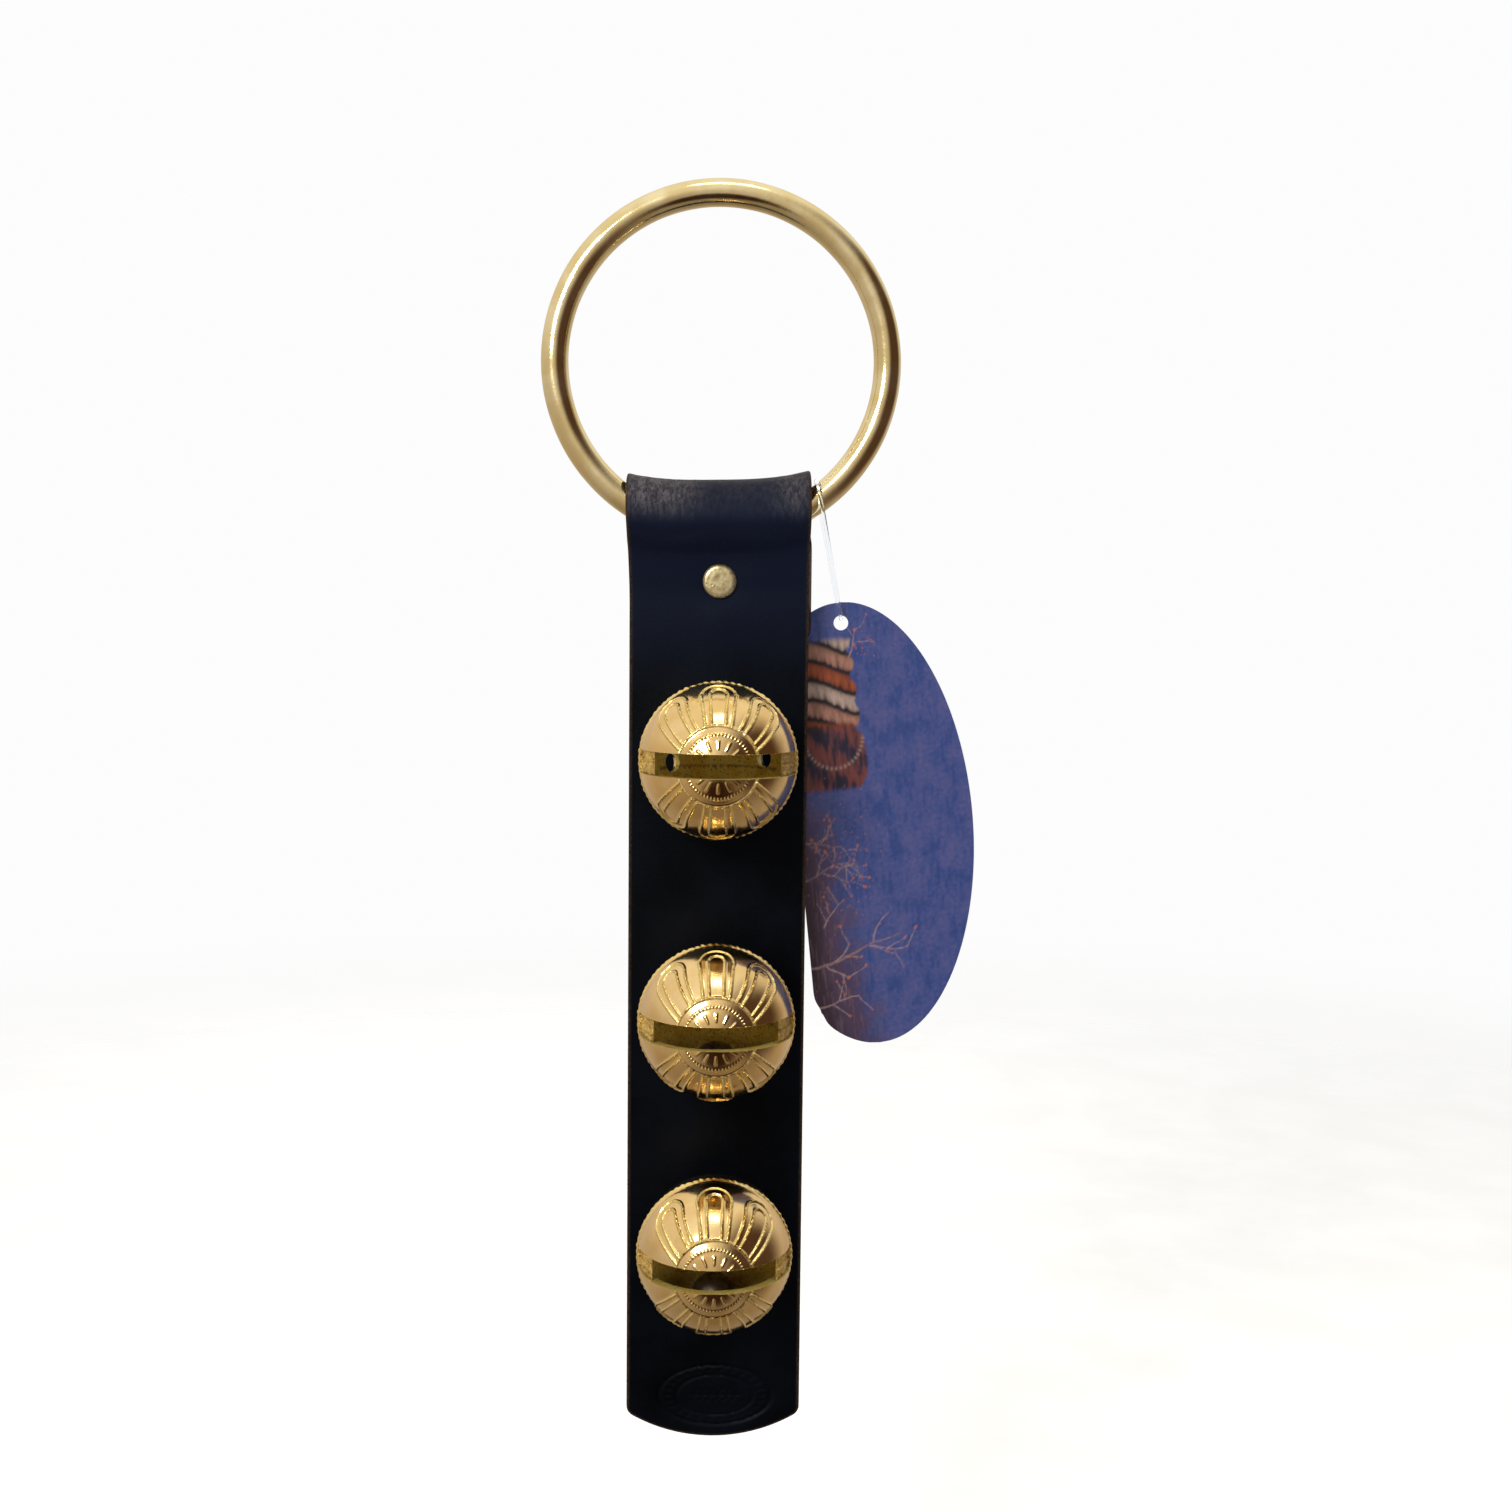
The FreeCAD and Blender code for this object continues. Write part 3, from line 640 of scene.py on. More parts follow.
def make_strap(material):
    """One closed sheet of leather, its two sides' grids joined round the outline, then punched."""
    low, high = box_mm("strap")
    tip = BowedEnd(high[0], low[2], TIP_RISE)
    tail = BowedEnd(high[0], TAIL_END, TIP_RISE / 2)
    rivet = middle("rivet_post")
    stamp = (0.4, low[2] + 9.5)
    x, y, z, out_y, out_z, inset = strap_grid(high[0], tip, tail)
    grain = LEATHER - edge_fall(inset, radius=0.6)
    flesh = edge_fall(inset, radius=0.35)
    seen_x, seen_y, seen_z = draped(x, y + out_y * LEATHER, z + out_z * LEATHER, 0.0)
    # The strain mask also carries the painted sheen on the fold's top.
    strain_and_sheen = fold_strain_and_sheen(seen_x, seen_z)
    grain += ease(inset, 0.2, 1.6) * leather_relief(seen_x, seen_y, seen_z, strain_and_sheen, rivet, stamp)

    points, marks = [], []
    rim = 1 - ease(inset, 0.25, 0.75)
    for offset, is_flesh in ((grain, 0.0), (flesh, 1.0)):
        side = draped(x, y + out_y * offset, z + out_z * offset, is_flesh)
        if not is_flesh:
            relax_creases(side, z)
        points.append(rows_of(*side))
        marks.append(rows_of(rim, is_flesh * (1 - rim), (1 - is_flesh) * strain_and_sheen))
    strap = close_sheet("strap_leather", points, *x.shape)
    copy_marks(strap, np.concatenate(points), np.concatenate(marks), ("edge", "inner", "strain_and_sheen"))

    holes = [punch(rivet, radius=1.6)]
    holes += [punch(middle(f"bell_{number}_washer"), shank_radius(number) + SHANK_CLEARANCE)
              for number in (1, 2, 3)]
    combine(strap, holes)
    dress(strap, material, sharp=60)
    mount(strap, "strap", "strap")


def close_sheet(name, sides, rows, columns):
    """Join a front and a back grid of the same shape into one closed piece along their outline."""
    count = rows * columns
    index = np.arange(count).reshape(rows, columns)
    outline = np.concatenate([index[0, :-1], index[:-1, -1], index[-1, :0:-1], index[:0:-1, 0]])
    ahead = np.roll(outline, -1)
    rim = np.stack([ahead, outline, outline + count, ahead + count], axis=1)
    front = grid_faces(rows, columns)
    return add_mesh(name, np.concatenate(sides), np.concatenate([front, front[:, ::-1] + count, rim]))


def copy_marks(piece, sources, marks, names):
    """Give each vertex the marks of the source point nearest to it."""
    tree = KDTree(len(sources))
    for at, point in enumerate(sources):
        tree.insert(point, at)
    tree.balance()
    nearest = [tree.find(point)[1] for point in points_of(piece)]
    for column, name in enumerate(names):
        store(piece, name, marks[nearest, column])


def punch(place, radius):
    return lathe("punch", [(0, -20), (radius, -20), (radius, 20), (0, 20)], 64, (place[0], 0, place[2]))


def shank_radius(number):
    """The washer's bore less the clearance: the bore is its nearest point to its own axis."""
    node = f"bell_{number}_washer"
    out = points_of(frame["nodes"][node]) - middle(node)
    return np.hypot(out[:, 0], out[:, 2]).min() - SHANK_CLEARANCE


# ---- Rivet ----

def resample(profile, step):
    """Points along a profile's straight runs, about step apart."""
    fine = [profile[0]]
    for here, there in zip(profile, profile[1:]):
        count = max(1, int(dist(here, there) / step))
        fine += np.linspace(here, there, count + 1)[1:].tolist()
    return fine


def rivet_half(name, node, profile, dents, material):
    """One half of the rivet, dented where its y is under a limit: dents are (depth, size, limit)."""
    place = middle("rivet_post")
    half = lathe(name, resample(profile, step=0.14), 96, (place[0], 0, place[2]))
    depth, size, limit = dents
    points = points_of(half)
    points[:, 1] += np.where(points[:, 1] < limit, depth * rough(points, size), 0)
    half.data.vertices.foreach_set("co", (points * MM).astype(np.float32).ravel())
    half.data.update()
    dress(half, material)
    mount(half, "strap", node)


def make_rivet(material):
    head = half_size("rivet_post")[0]
    crown, post_end = (corner[1] for corner in box_mm("rivet_post"))
    front = -LAYER_GAP / 2 - LEATHER
    sunk = front + 0.5
    profile = [(0, crown + 0.02), (head * 0.45, crown), (head - 0.9, crown + 0.05),
               (head - 0.45, crown + 0.16), (head - 0.12, crown + 0.42), (head, crown + 0.72),
               (head - 0.05, sunk), (1.55, sunk), (1.55, post_end), (0, post_end)]
    rivet_half("rivet_head", "rivet_post", profile, (0.028, 1.3, front), material)

    back, crown = (corner[1] for corner in box_mm("rivet_cap"))
    back -= 0.4
    profile = [(0, crown), (1.6, crown - 0.02), (head - 1.3, crown - 0.12), (head - 0.5, crown - 0.42),
               (head - 0.08, crown - 0.95), (head, back + 0.35), (head - 0.1, back), (1.6, back),
               (1.6, post_end), (0, post_end)]
    rivet_half("rivet_cap_shell", "rivet_cap", profile, (0.009, 1.6, crown + 1), material)


# ---- Bells ----

RING_LINE = radians(30.3)
BEADED_LINE = radians(23.6)
PETAL_TURN = radians(61.5)
SEAM = radians(87.5)
BEADS = 58
RAYS = 14
SEAM_STRANDS = 74


def bell_radius():
    """The casting's radius without its seam bead, which stands 0.4 proud in the CAD."""
    return half_size("bell_1_shell")[0] - 0.4


def bell_centre(number):
    return joint_place(f"bell_{number}_turn")


def petal_height(theta, turn, axis, lean):
    """The two raised lines of one petal: a narrow and a wide U, open towards the ring line."""
    out = np.clip((theta - RING_LINE) / (PETAL_TURN - RING_LINE), 0, 1.4)
    away = turn - (axis + lean * (1 - out))
    side = np.sin(theta) * np.sin(away)
    height = np.zeros_like(theta)
    for foot, shoulder, rise in ((0.162, 0.222, 0.38), (0.086, 0.108, 0.34)):
        straight_part = np.abs(side) - foot - (shoulder - foot) * np.clip(out, 0, 1)
        bend = np.hypot(theta - PETAL_TURN, side) - shoulder
        from_line = np.where(theta < PETAL_TURN, straight_part, bend)
        height = np.maximum(height, rise * hump(from_line * bell_radius(), 0.21))
    return np.where((np.cos(away) > 0) & (theta > RING_LINE), height, 0)


def ornament(theta, turn):
    """Height of everything raised on the bell's front, for the angle from its front pole and round it."""
    radius = bell_radius()
    beads = 0.35 + 0.65 * np.maximum(np.cos(turn * BEADS), 0)
    rays = np.maximum(np.cos(turn * RAYS), 0) ** 3
    inner = ease(theta, radians(12), radians(13)) * ease(-theta, -radians(20), -radians(18.5))
    raised = [0.28 * hump((theta - RING_LINE) * radius, 0.23),
              0.25 * beads * hump((theta - BEADED_LINE) * radius, 0.25), 0.15 * rays * inner]
    side_axis, side_lean = radians(42), radians(7)
    for axis, lean in ((0, 0), (side_axis, side_lean), (-side_axis, -side_lean)):
        raised += [petal_height(theta, turn, axis, lean), petal_height(theta, turn, pi - axis, -lean)]
    return np.maximum.reduce(raised)


def rim_bead(theta, turn, points):
    """The rope-like seam where the bell's two castings meet, with a shallow gutter in front of it."""
    distance = (theta - SEAM) * bell_radius()
    strands = 0.82 + 0.18 * np.cos(turn * SEAM_STRANDS + distance * 5)
    rope = 0.40 * strands * hump(distance, 0.46) * (1 + 0.3 * rough(points, 0.9, 2))
    return rope - 0.10 * hump(distance + 1.0, 0.4)


def ball(name, steps, columns, reach):
    """A closed ball about the origin whose radius is what reach(directions, theta, turn) says."""
    theta, turn = np.meshgrid(steps, full_turn(columns), indexing="ij")
    around = rows_of(np.sin(theta) * np.sin(turn), -np.cos(theta), np.sin(theta) * np.cos(turn))
    radius = reach(around, theta.ravel(), turn.ravel())
    return add_mesh(name, around * radius[:, None], grid_faces(len(steps), columns, wrap=True))


def bell_skin(around, theta, turn):
    """The bell's dressed outside: slightly uneven, with its ornament and seam raised on it."""
    points = around * bell_radius()
    uneven = 0.85 + 0.35 * rough(points, 0.7, 2)
    plain = bell_radius() + 0.035 * rough(points, 7.0, 2)
    return plain + ornament(theta, turn) * uneven + rim_bead(theta, turn, points)


def cavity_skin(around, theta, turn):
    reach = bell_radius() - BELL_WALL
    return reach + 0.09 * rough(around * reach, 1.6)


def recess_skin(around, theta, turn):
    """The sandy floor left at the slot's ends, its two halves parted by a flash line and stepped."""
    reach = bell_radius() - 0.72
    place = around[:, 2] * reach
    sand = 0.27 * rough(around * reach, 0.95)
    return reach + sand + 0.22 * ease(-place, -0.1, 0.1) - 0.34 * hump(place, 0.24)


def even_steps(count):
    """Angles from pole to pole."""
    return np.radians(np.linspace(0, 180, count))


def slot_cutter(half_length, back):
    """A box as high as the slot, from in front of the bell to the given y."""
    corners = [(x, y, z) for x in (-half_length, half_length) for y in (-bell_radius() - 2, back)
               for z in (-SLOT_HALF_HEIGHT, SLOT_HALF_HEIGHT)]
    faces = [(0, 1, 3, 2), (4, 6, 7, 5), (0, 4, 5, 1), (2, 3, 7, 6), (0, 2, 6, 4), (1, 5, 7, 3)]
    return add_mesh("slot_cutter", corners, faces)


def sound_hole(side, drop):
    """A round cutter from the bell's centre out through its back, to one side and a little low."""
    hole = lathe("sound_hole", [(0, 4), (1.95, 4), (2.0, 13.6), (2.1, 15.0), (2.45, 17.5), (0, 17.5)], 48)
    turn_about(hole, "X", -drop)
    turn_about(hole, "Z", -side * SOUND_HOLE_ANGLE)
    return hole


def bell_stem():
    """The collar that stands off the leather, running into the shank that goes through it."""
    shank = shank_radius(1)
    end = box_mm("bell_1_shell")[1][1] - bell_centre(1)[1]
    profile = [(0, 12.8), (4.5, 12.8), (5.4, 14.6), (4.75, 15.5), (4.5, 16.1),
               (4.5, COLLAR_REACH - 0.25), (4.25, COLLAR_REACH), (shank, COLLAR_REACH),
               (shank, end - 0.4), (shank - 0.4, end), (0, end)]
    return lathe("stem", profile, 72)


def cross_hole():
    """The cutter for the split pin's hole across the shank."""
    bore = COTTER_WIRE + 0.12
    hole = lathe("cross_hole", [(0, -6), (bore, -6), (bore, 6), (0, 6)], 32)
    turn_about(hole, "X", 90)
    move(hole, (0, middle("bell_1_cotter_pin")[1] - bell_centre(1)[1], 0))
    return hole


def bell_mesh():
    """A cast bell about its own centre: dressed outside, as cast inside and in the slot."""
    front, rear = np.radians(np.linspace(0, 94, 152)), np.radians(np.linspace(96.5, 180, 22))
    shell = ball("shell", np.concatenate([front, rear]), 500, bell_skin)
    cavity = ball("cavity", even_steps(72), 110, cavity_skin)
    slot = slot_cutter(SLOT_HALF_LENGTH, back=-2)
    recess = slot_cutter(bell_radius() + 1, back=-1.3)
    combine(recess, [ball("recess_floor", even_steps(110), 380, recess_skin)])
    cutters = [cavity, recess, slot, sound_hole(1, 1.5), sound_hole(-1, 5.5), cross_hole()]
    combine(shell, cutters, added=[bell_stem()])
    return shell


def mark_relief(shell):
    """Where the bell is raised, where painted shade falls low in the cavity and on the slot's lower lip,
    and where the creases beside what is raised get painted shade, for its finish.
    """
    points = points_of(shell)
    radius, reach = bell_radius(), np.linalg.norm(points, axis=1)
    around = points / np.maximum(reach, 1e-6)[:, None]
    theta = np.arccos(np.clip(-around[:, 1], -1, 1))
    height = ornament(theta, np.arctan2(around[:, 0], around[:, 2]))
    seam = 0.8 * hump((theta - SEAM) * radius, 0.55)
    outside = reach > radius - 0.25
    below = -points[:, 2]
    in_cavity = reach < radius - BELL_WALL + 0.3
    slot_lip = ease(below, 1.8, 2.3) * (below < SLOT_HALF_HEIGHT + 0.02)
    # Painted shade: the cavity darkens towards its bottom, and the slot's lower lip is darkened too.
    store(shell, "painted_shade", np.maximum(in_cavity * ease(below, 4, 10), 0.75 * slot_lip))
    store(shell, "relief", np.where(outside, np.maximum(np.clip(height / 0.3, 0, 1), seam), 0))
    # Painted shade in the creases beside the raised lines.
    store(shell, "crease", outside * ease(height, 0.01, 0.05) * (1 - ease(height, 0.05, 0.14)))


def mark_castings(shell):
    """Faces that were never dressed: 1 for the cavity and the slot's walls, 2 for its blocked ends."""
    x, y, z = (read(shell.data.polygons, "center") / MM).T
    reach, radius = np.hypot(np.hypot(x, y), z), bell_radius()
    in_slot = (np.abs(z) < SLOT_HALF_HEIGHT + 0.02) & (y < -1.25) & (reach < radius + 0.6)
    finish = np.where((reach < radius - 0.3) | in_slot, 1, 0)
    finish[in_slot & (np.abs(x) > SLOT_HALF_LENGTH - 0.01)] = 2
    finish[y > radius - 0.5] = 0
    shell.data.polygons.foreach_set("material_index", finish.astype(np.int32))


def cast_bell(outside, inside, cast):
    """The bell that all three are cast like, about its own centre."""
    shell = bell_mesh()
    mark_relief(shell)
    dress(shell, outside, inside, cast, sharp=38)
    mark_castings(shell)
    return shell


def place_bell(number, pattern):
    shell = put(f"bell_{number}_casting", pattern.data.copy())
    move(shell, bell_centre(number))
    mount(shell, f"bell_{number}", f"bell_{number}_shell")


def make_pea(number, material):
    """The loose steel ball, rubbed slightly out of round."""
    node = f"bell_{number}_pea"
    radius, worn = half_size(node)[0], 0.04

    def skin(around, theta, turn):
        return radius - worn + worn * rough(around * radius, 2.4, shift=number)

    pea = ball(f"bell_{number}_ball", even_steps(40), 64, skin)
    move(pea, middle(node))
    dress(pea, material, sharp=180)
    mount(pea, f"pea_{number}", node)


def make_washer(number, material):
    """A stamped washer: rolled over on one side, burred on the other."""
    node = f"bell_{number}_washer"
    outer, half_thick, _ = half_size(node)
    thick = 2 * half_thick
    bore = shank_radius(number) + SHANK_CLEARANCE
    profile = [(bore + 0.06, 0), (bore, 0.1), (bore, thick - 0.22), (bore + 0.22, thick),
               (outer - 0.35, thick), (outer - 0.1, thick - 0.1), (outer, thick - 0.35), (outer, 0.08),
               (outer - 0.06, 0), (bore + 0.06, 0)]
    washer = lathe(f"bell_{number}_plate_washer", profile, 96, middle(node) - (0, half_thick, 0))
    dress(washer, material)
    mount(washer, f"bell_{number}", node)


def cotter_path(eye, neck, leg, length, splay):
    """Half of a split pin: from the top of its eye, down its leg and out along the bent end."""
    eye_z, bend, splay = neck + sqrt(eye ** 2 - leg ** 2), 1.2, radians(splay)
    turns = np.linspace(0, pi / 2 + acos(leg / eye), 16)
    points = [(eye * sin(turn), eye_z + eye * cos(turn)) for turn in turns]
    points += [(leg, z) for z in np.linspace(neck, -neck, 8)[1:]]
    turns = np.linspace(0, splay, 8)[1:]
    points += [(leg + bend * (1 - cos(turn)), -neck - bend * sin(turn)) for turn in turns]
    x, z = points[-1]
    steps = np.linspace(0, length, 6)[1:]
    return points + [(x + step * sin(splay), z - step * cos(splay)) for step in steps]


def make_cotter(number, material):
    """A split pin of half-round wire, its eye up and its legs bent apart by hand."""
    node = f"bell_{number}_cotter_pin"
    eye, neck, leg = 1.7, shank_radius(number) + 0.3, COTTER_WIRE / 2 + 0.05
    uneven = (number - 2) * 3.0
    right = cotter_path(eye, neck, leg, 3.15, 59 + uneven)
    left = cotter_path(eye, neck, leg, 3.0, 57 - uneven)
    back, height = middle(node)[1], bell_centre(number)[2]
    path = [(x, back, z + height) for x, z in [(-x, z) for x, z in left[:0:-1]] + right]
    turn = np.linspace(-pi / 2, pi / 2, 9)
    section = COTTER_WIRE / 2 * rows_of(1.45 * np.cos(turn) - 0.75, np.sin(turn))
    pin = tube(f"bell_{number}_split_pin", path, section)
    dress(pin, material)
    mount(pin, f"bell_{number}", node)


# ---- Loop and tag ----

def make_loop(material):
    """The clear strand: a wide bend over the ring, a narrow one through the tag, straight between."""
    top, foot = joint_place("loop_swing"), joint_place("tag_swing")
    wide, narrow = 3.7, 1.9
    down = (foot - top) / np.linalg.norm(foot - top)
    foot_centre = foot - down * narrow
    length = np.linalg.norm(foot_centre - top)
    axis = (foot_centre - top) / length
    side = np.cross(axis, np.cross((0, 1, 0), down * (1, 0, 1)))
    side /= np.linalg.norm(side)
    spread = asin((wide - narrow) / length)
    over = [top + wide * (side * sin(turn) - axis * cos(turn))
            for turn in np.linspace(pi / 2 + spread, -pi / 2 - spread, 26)]
    under = [foot_centre + narrow * (side * sin(turn) + axis * cos(turn))
             for turn in np.linspace(-pi / 2 + spread, pi / 2 - spread, 18)]
    runs = [np.linspace(start[-1], end[0], 15)[1:-1] for start, end in ((over, under), (under, over))]
    path = np.concatenate([over, runs[0], under, runs[1]])
    section = LOOP_WIRE / 2 * rows_of(np.cos(full_turn(14)), np.sin(full_turn(14)))
    strand = tube("clear_strand", path, section, closed=True)
    dress(strand, material, sharp=180)
    mount(strand, "loop", "tag_loop")


def tag_axes():
    """The tag's centre and its own directions: across to the right and along to the top."""
    tilt = radians(TAG_TILT)
    along = np.array([-sin(tilt), 0, cos(tilt)])
    across = np.array([cos(tilt), 0, sin(tilt)])
    hang = TAG_HOLE / 2 - LOOP_WIRE / 2 - 0.2
    return joint_place("tag_swing") - along * (TAG_HALF_HEIGHT - TAG_HOLE_INSET + hang), across, along


def tag_sides(along):
    """The tag's left and right edge at each height: an ellipse cut straight on the left, ends rounded."""
    oval = TAG_HALF_WIDTH * np.sqrt(np.maximum(1 - (along / TAG_HALF_HEIGHT) ** 2, 0))
    flat_end = TAG_HALF_HEIGHT * sqrt(1 - (TAG_FLAT_SIDE / TAG_HALF_WIDTH) ** 2)
    rounding = TAG_CORNER * 0.32 * hump(np.abs(along) - flat_end, TAG_CORNER * 0.55)
    left = np.minimum(oval, TAG_FLAT_SIDE) - np.where(oval > 2, rounding, 0)
    return -np.maximum(left, 0), oval


def make_tag(material):
    """A slightly curled card: two grids joined round the outline, punched and printed."""
    centre, across_axis, along_axis = tag_axes()
    rows, columns = 350, 138
    along = 0.25 * TAG_HALF_HEIGHT * np.sin(np.linspace(-pi / 2, pi / 2, rows))
    along += 0.75 * np.linspace(-TAG_HALF_HEIGHT, TAG_HALF_HEIGHT, rows)
    left, right = tag_sides(along)
    across = left[:, None] + (right - left)[:, None] * np.linspace(0, 1, columns)
    height = along[:, None] + 0 * across
    curl = 0.9 * ease(across, 4, 25) ** 1.3 * ease(-height, -30, 40) + 0.25 * ease(-height, 20, 49)
    flat = centre + rows_of(across) * across_axis + rows_of(height) * along_axis
    half_thick = half_size("hang_tag")[1]
    sides = [flat + rows_of(curl + offset) * (0, 1, 0) for offset in (-half_thick, half_thick)]
    tag = close_sheet("printed_tag", sides, rows, columns)
    hole = centre + along_axis * (TAG_HALF_HEIGHT - TAG_HOLE_INSET)
    combine(tag, [punch(hole, TAG_HOLE / 2)])

    points = points_of(tag) - centre
    picture = tag_picture(points @ across_axis, points @ along_axis)
    attribute = tag.data.attributes.new("picture", "FLOAT_COLOR", "POINT")
    attribute.data.foreach_set("color", np.insert(picture, 3, 1, axis=1).astype(np.float32).ravel())
    store(tag, "printed", read(tag.data.vertices, "normal")[:, 1] < -0.3)
    dress(tag, material)
    mount(tag, "tag", "hang_tag")


INK = {name: np.array(tone(*value)[:3]) for name, value in (
    ("blue", (40, 58, 106)), ("mauve", (68, 68, 108)), ("deep", (30, 46, 92)), ("plum", (62, 44, 56)),
    ("soil", (46, 31, 34)), ("twig", (136, 112, 110)), ("bark", (96, 74, 76)), ("berry", (142, 80, 56)),
    ("rust", (116, 56, 34)), ("cream", (132, 112, 102)), ("dark", (26, 20, 28)))}


def shade(share, first, second):
    """From the first colour to the second, by a share for each point."""
    return first + (second - first) * np.clip(share, 0, 1)[:, None]


def tag_picture(across, along):
    """A generic winter evening: dusky sky, bare branches with berries, dark ground, a striped ribbon."""
    flat = rows_of(across, 0, along)
    mottle = rough(flat * (1.0, 1.0, 0.8), 4.5, 5)
    smear = rough(flat * (1.7, 1.0, 0.35), 1.5, 4, shift=5.0)
    grain = rough(flat, 0.8, 2, shift=9.0)
    stalks = ease(rough(flat * (2.6, 1.0, 0.22), 1.3, shift=1.0), 0.25, 0.5)
    wobble = 0.08 * rough(flat, 0.9, 2, shift=2.0)
    picture = shade(0.45 + 0.5 * mottle + 0.22 * smear + 0.5 * grain, INK["blue"], INK["mauve"])
    picture = shade(0.35 * ease(-smear - mottle, 0.1, 0.8), picture, INK["deep"])
    ground = ease(-across - 0.16 * along + 2.6 * mottle, 4.0, 12.5) * ease(-along, -14, 2)
    soil = ease(-across - 0.05 * along + 2.5 * smear, 9.0, 14.0) * ease(-along, -4, 14)
    for share, colour in ((0.85 * ground, "plum"), (0.7 * soil, "soil"), (0.35 * stalks * ground, "bark")):
        picture = shade(share, picture, INK[colour])
    picture = ribbon(picture, across, along, smear)
    twigs, berries = grow_branches(np.random.default_rng(11))
    near, width, fresh = nearest_twig(across, along, twigs)
    line = ease(width + 0.12 - near + wobble, 0.0, 0.24)
    picture = shade(0.8 * line, picture, shade(fresh + 0.4 * smear, INK["bark"], INK["twig"]))
    for x, z, size in berries:
        spot = ease(size - np.hypot(across - x, along - z) + wobble, 0.0, 0.3)
        picture = shade(0.8 * spot, picture, INK["berry"])
    return np.clip(picture, 0, 1)


def ribbon(picture, across, along, smear):
    """A rust and cream ribbon gathered over a dark bow along the tag's upper left."""
    rust, cream, dark = INK["rust"], INK["cream"], INK["dark"]
    edge = 1.8 + 0.5 * np.sin(along * 1.1) - 0.05 * (along - 34) + 0.4 * smear
    inside = ease(edge - across, 0.0, 0.6) * ease(along, 21.0, 22.5) * ease(-along, -42.0, -40.0)
    step = (along + 0.22 * across + 0.9 * np.sin(across * 0.35 + 1.0) + 0.3 * smear) / 4.3
    within = step - np.floor(step)
    colours = np.array([cream, rust, rust + 0.45 * (cream - rust)])[np.floor(step).astype(int) % 3]
    fold = np.sin(within * pi) ** 0.8
    colours = colours * np.clip(0.25 + 0.75 * fold + 0.45 * smear, 0.1, 1.15)[:, None]
    colours = shade(hump(within - 0.02, 0.10) + hump(within - 0.98, 0.10), colours, dark)
    picture = shade(inside, picture, colours)
    bow_edge = 3.6 - 0.05 * (along - 15.0) ** 2 + 0.6 * smear
    bow = ease(bow_edge - across, 0.0, 0.8) * ease(along, 7.5, 9.0) * ease(-along, -23.5, -22.0)
    shine = shade(0.5 + smear + 0.5 * np.sin(along * 0.7 + across * 0.5), dark, rust * 0.6)
    picture = shade(0.9 * bow, picture, shine)
    right, up = across + 4.0, along - 20.0
    twist = 0.5 + 0.5 * np.cos(np.arctan2(up, right) * 44)
    cord = hump(np.hypot(right, up * 0.9) - 6.4, 0.35) * (up < 0) * twist
    return shade(0.75 * cord, picture, cream)


def grow_branches(random):
    """Bare branches from the tag's left: segments (x, z, x, z, width, freshness) and berries."""
    twigs, berries = [], []

    def grow(x, z, heading, length, width, level):
        steps = max(3, int(length / 1.5))
        for step in range(steps):
            heading += random.normal(0, 0.20)
            next_x, next_z = x + 1.5 * cos(heading), z + 1.5 * sin(heading)
            twigs.append((x, z, next_x, next_z, width * (1 - 0.6 * step / steps), 0.3 + 0.5 * (level < 2)))
            x, z = next_x, next_z
            if level > 0 and random.random() < 0.42:
                turn = random.choice([-1, 1]) * random.uniform(0.5, 1.1)
                grow(x, z, heading + turn, length * random.uniform(0.3, 0.5), width * 0.6, level - 1)
            if level < 2 and random.random() < 0.16:
                scatter(x, z, 0.3, 0.3, 0.28, 0.5)
        if level < 2:
            berries.append((x, z, random.uniform(0.28, 0.5)))

    def scatter(x, z, spread_x, spread_z, small, large):
        place = x + random.normal(0, spread_x), z + random.normal(0, spread_z)
        berries.append((*place, random.uniform(small, large)))

    for branch in ((-13.5, -31.0, 0.05, 21.0, 0.30, 2), (-13.5, -11.5, 0.12, 13.0, 0.20, 2),
                   (-12.5, -40.0, 0.25, 9.0, 0.18, 1), (-13.5, -3.0, -0.15, 10.0, 0.15, 2),
                   (1.0, 37.0, 0.75, 6.0, 0.13, 1), (-10.0, -22.0, 0.9, 8.0, 0.14, 1)):
        grow(*branch)
    for cluster, count in (((-5.0, -5.0, 4.2, 9.5), 150), ((4.5, 39.5, 2.8, 1.9), 40)):
        for _ in range(count):
            scatter(*cluster, 0.14, 0.3)
    return twigs, berries


def nearest_twig(across, along, twigs):
    """For each point its distance to the nearest twig, and that twig's width and freshness."""
    best = np.zeros((3, len(across)))
    best[0] = 99.0
    for x, z, end_x, end_z, wide, new in twigs:
        run_x, run_z, right, up = end_x - x, end_z - z, across - x, along - z
        share = np.clip((right * run_x + up * run_z) / (run_x ** 2 + run_z ** 2), 0, 1)
        distance = np.hypot(right - share * run_x, up - share * run_z)
        closer = distance - wide < best[0] - best[1]
        best[0] = np.where(closer, distance, best[0])
        best[1:, closer] = [[wide], [new]]
    return best


# ---- Floor, light and camera ----

def make_floor():
    """A pale floor well below the hanger: it fades into the pale surroundings and is clear from below."""
    mesh = bpy.data.meshes.new("floor")
    reach, height = 3.0, cad_box[0].z - 0.12
    corners = [(x * reach, y * reach, height) for x, y in ((-1, -1), (1, -1), (1, 1), (-1, 1))]
    mesh.from_pydata(corners, [], [(0, 1, 2, 3)])
    finish = Finish("pale_floor")
    colour = finish.mottle(finish.noise(60.0, detail=6), 0.3, 0.7, tone(238, 237, 234), tone(246, 245, 243))
    distance = finish.add("VectorMath", "Value", {0: finish.place}, operation="LENGTH")
    reflected = finish.add("LightPath", "Is Glossy Ray")
    below = finish.add("NewGeometry", "Backfacing")
    clear = finish.maths("MAXIMUM", finish.span(distance, 0.35, 1.3), reflected)
    clear = finish.maths("MAXIMUM", clear, below)
    matt = finish.add("BsdfDiffuse", 0, {"Color": colour})
    nothing = finish.add("BsdfTransparent")
    mesh.materials.append(finish.output(finish.either(clear, matt, nothing)))
    put("floor", mesh)


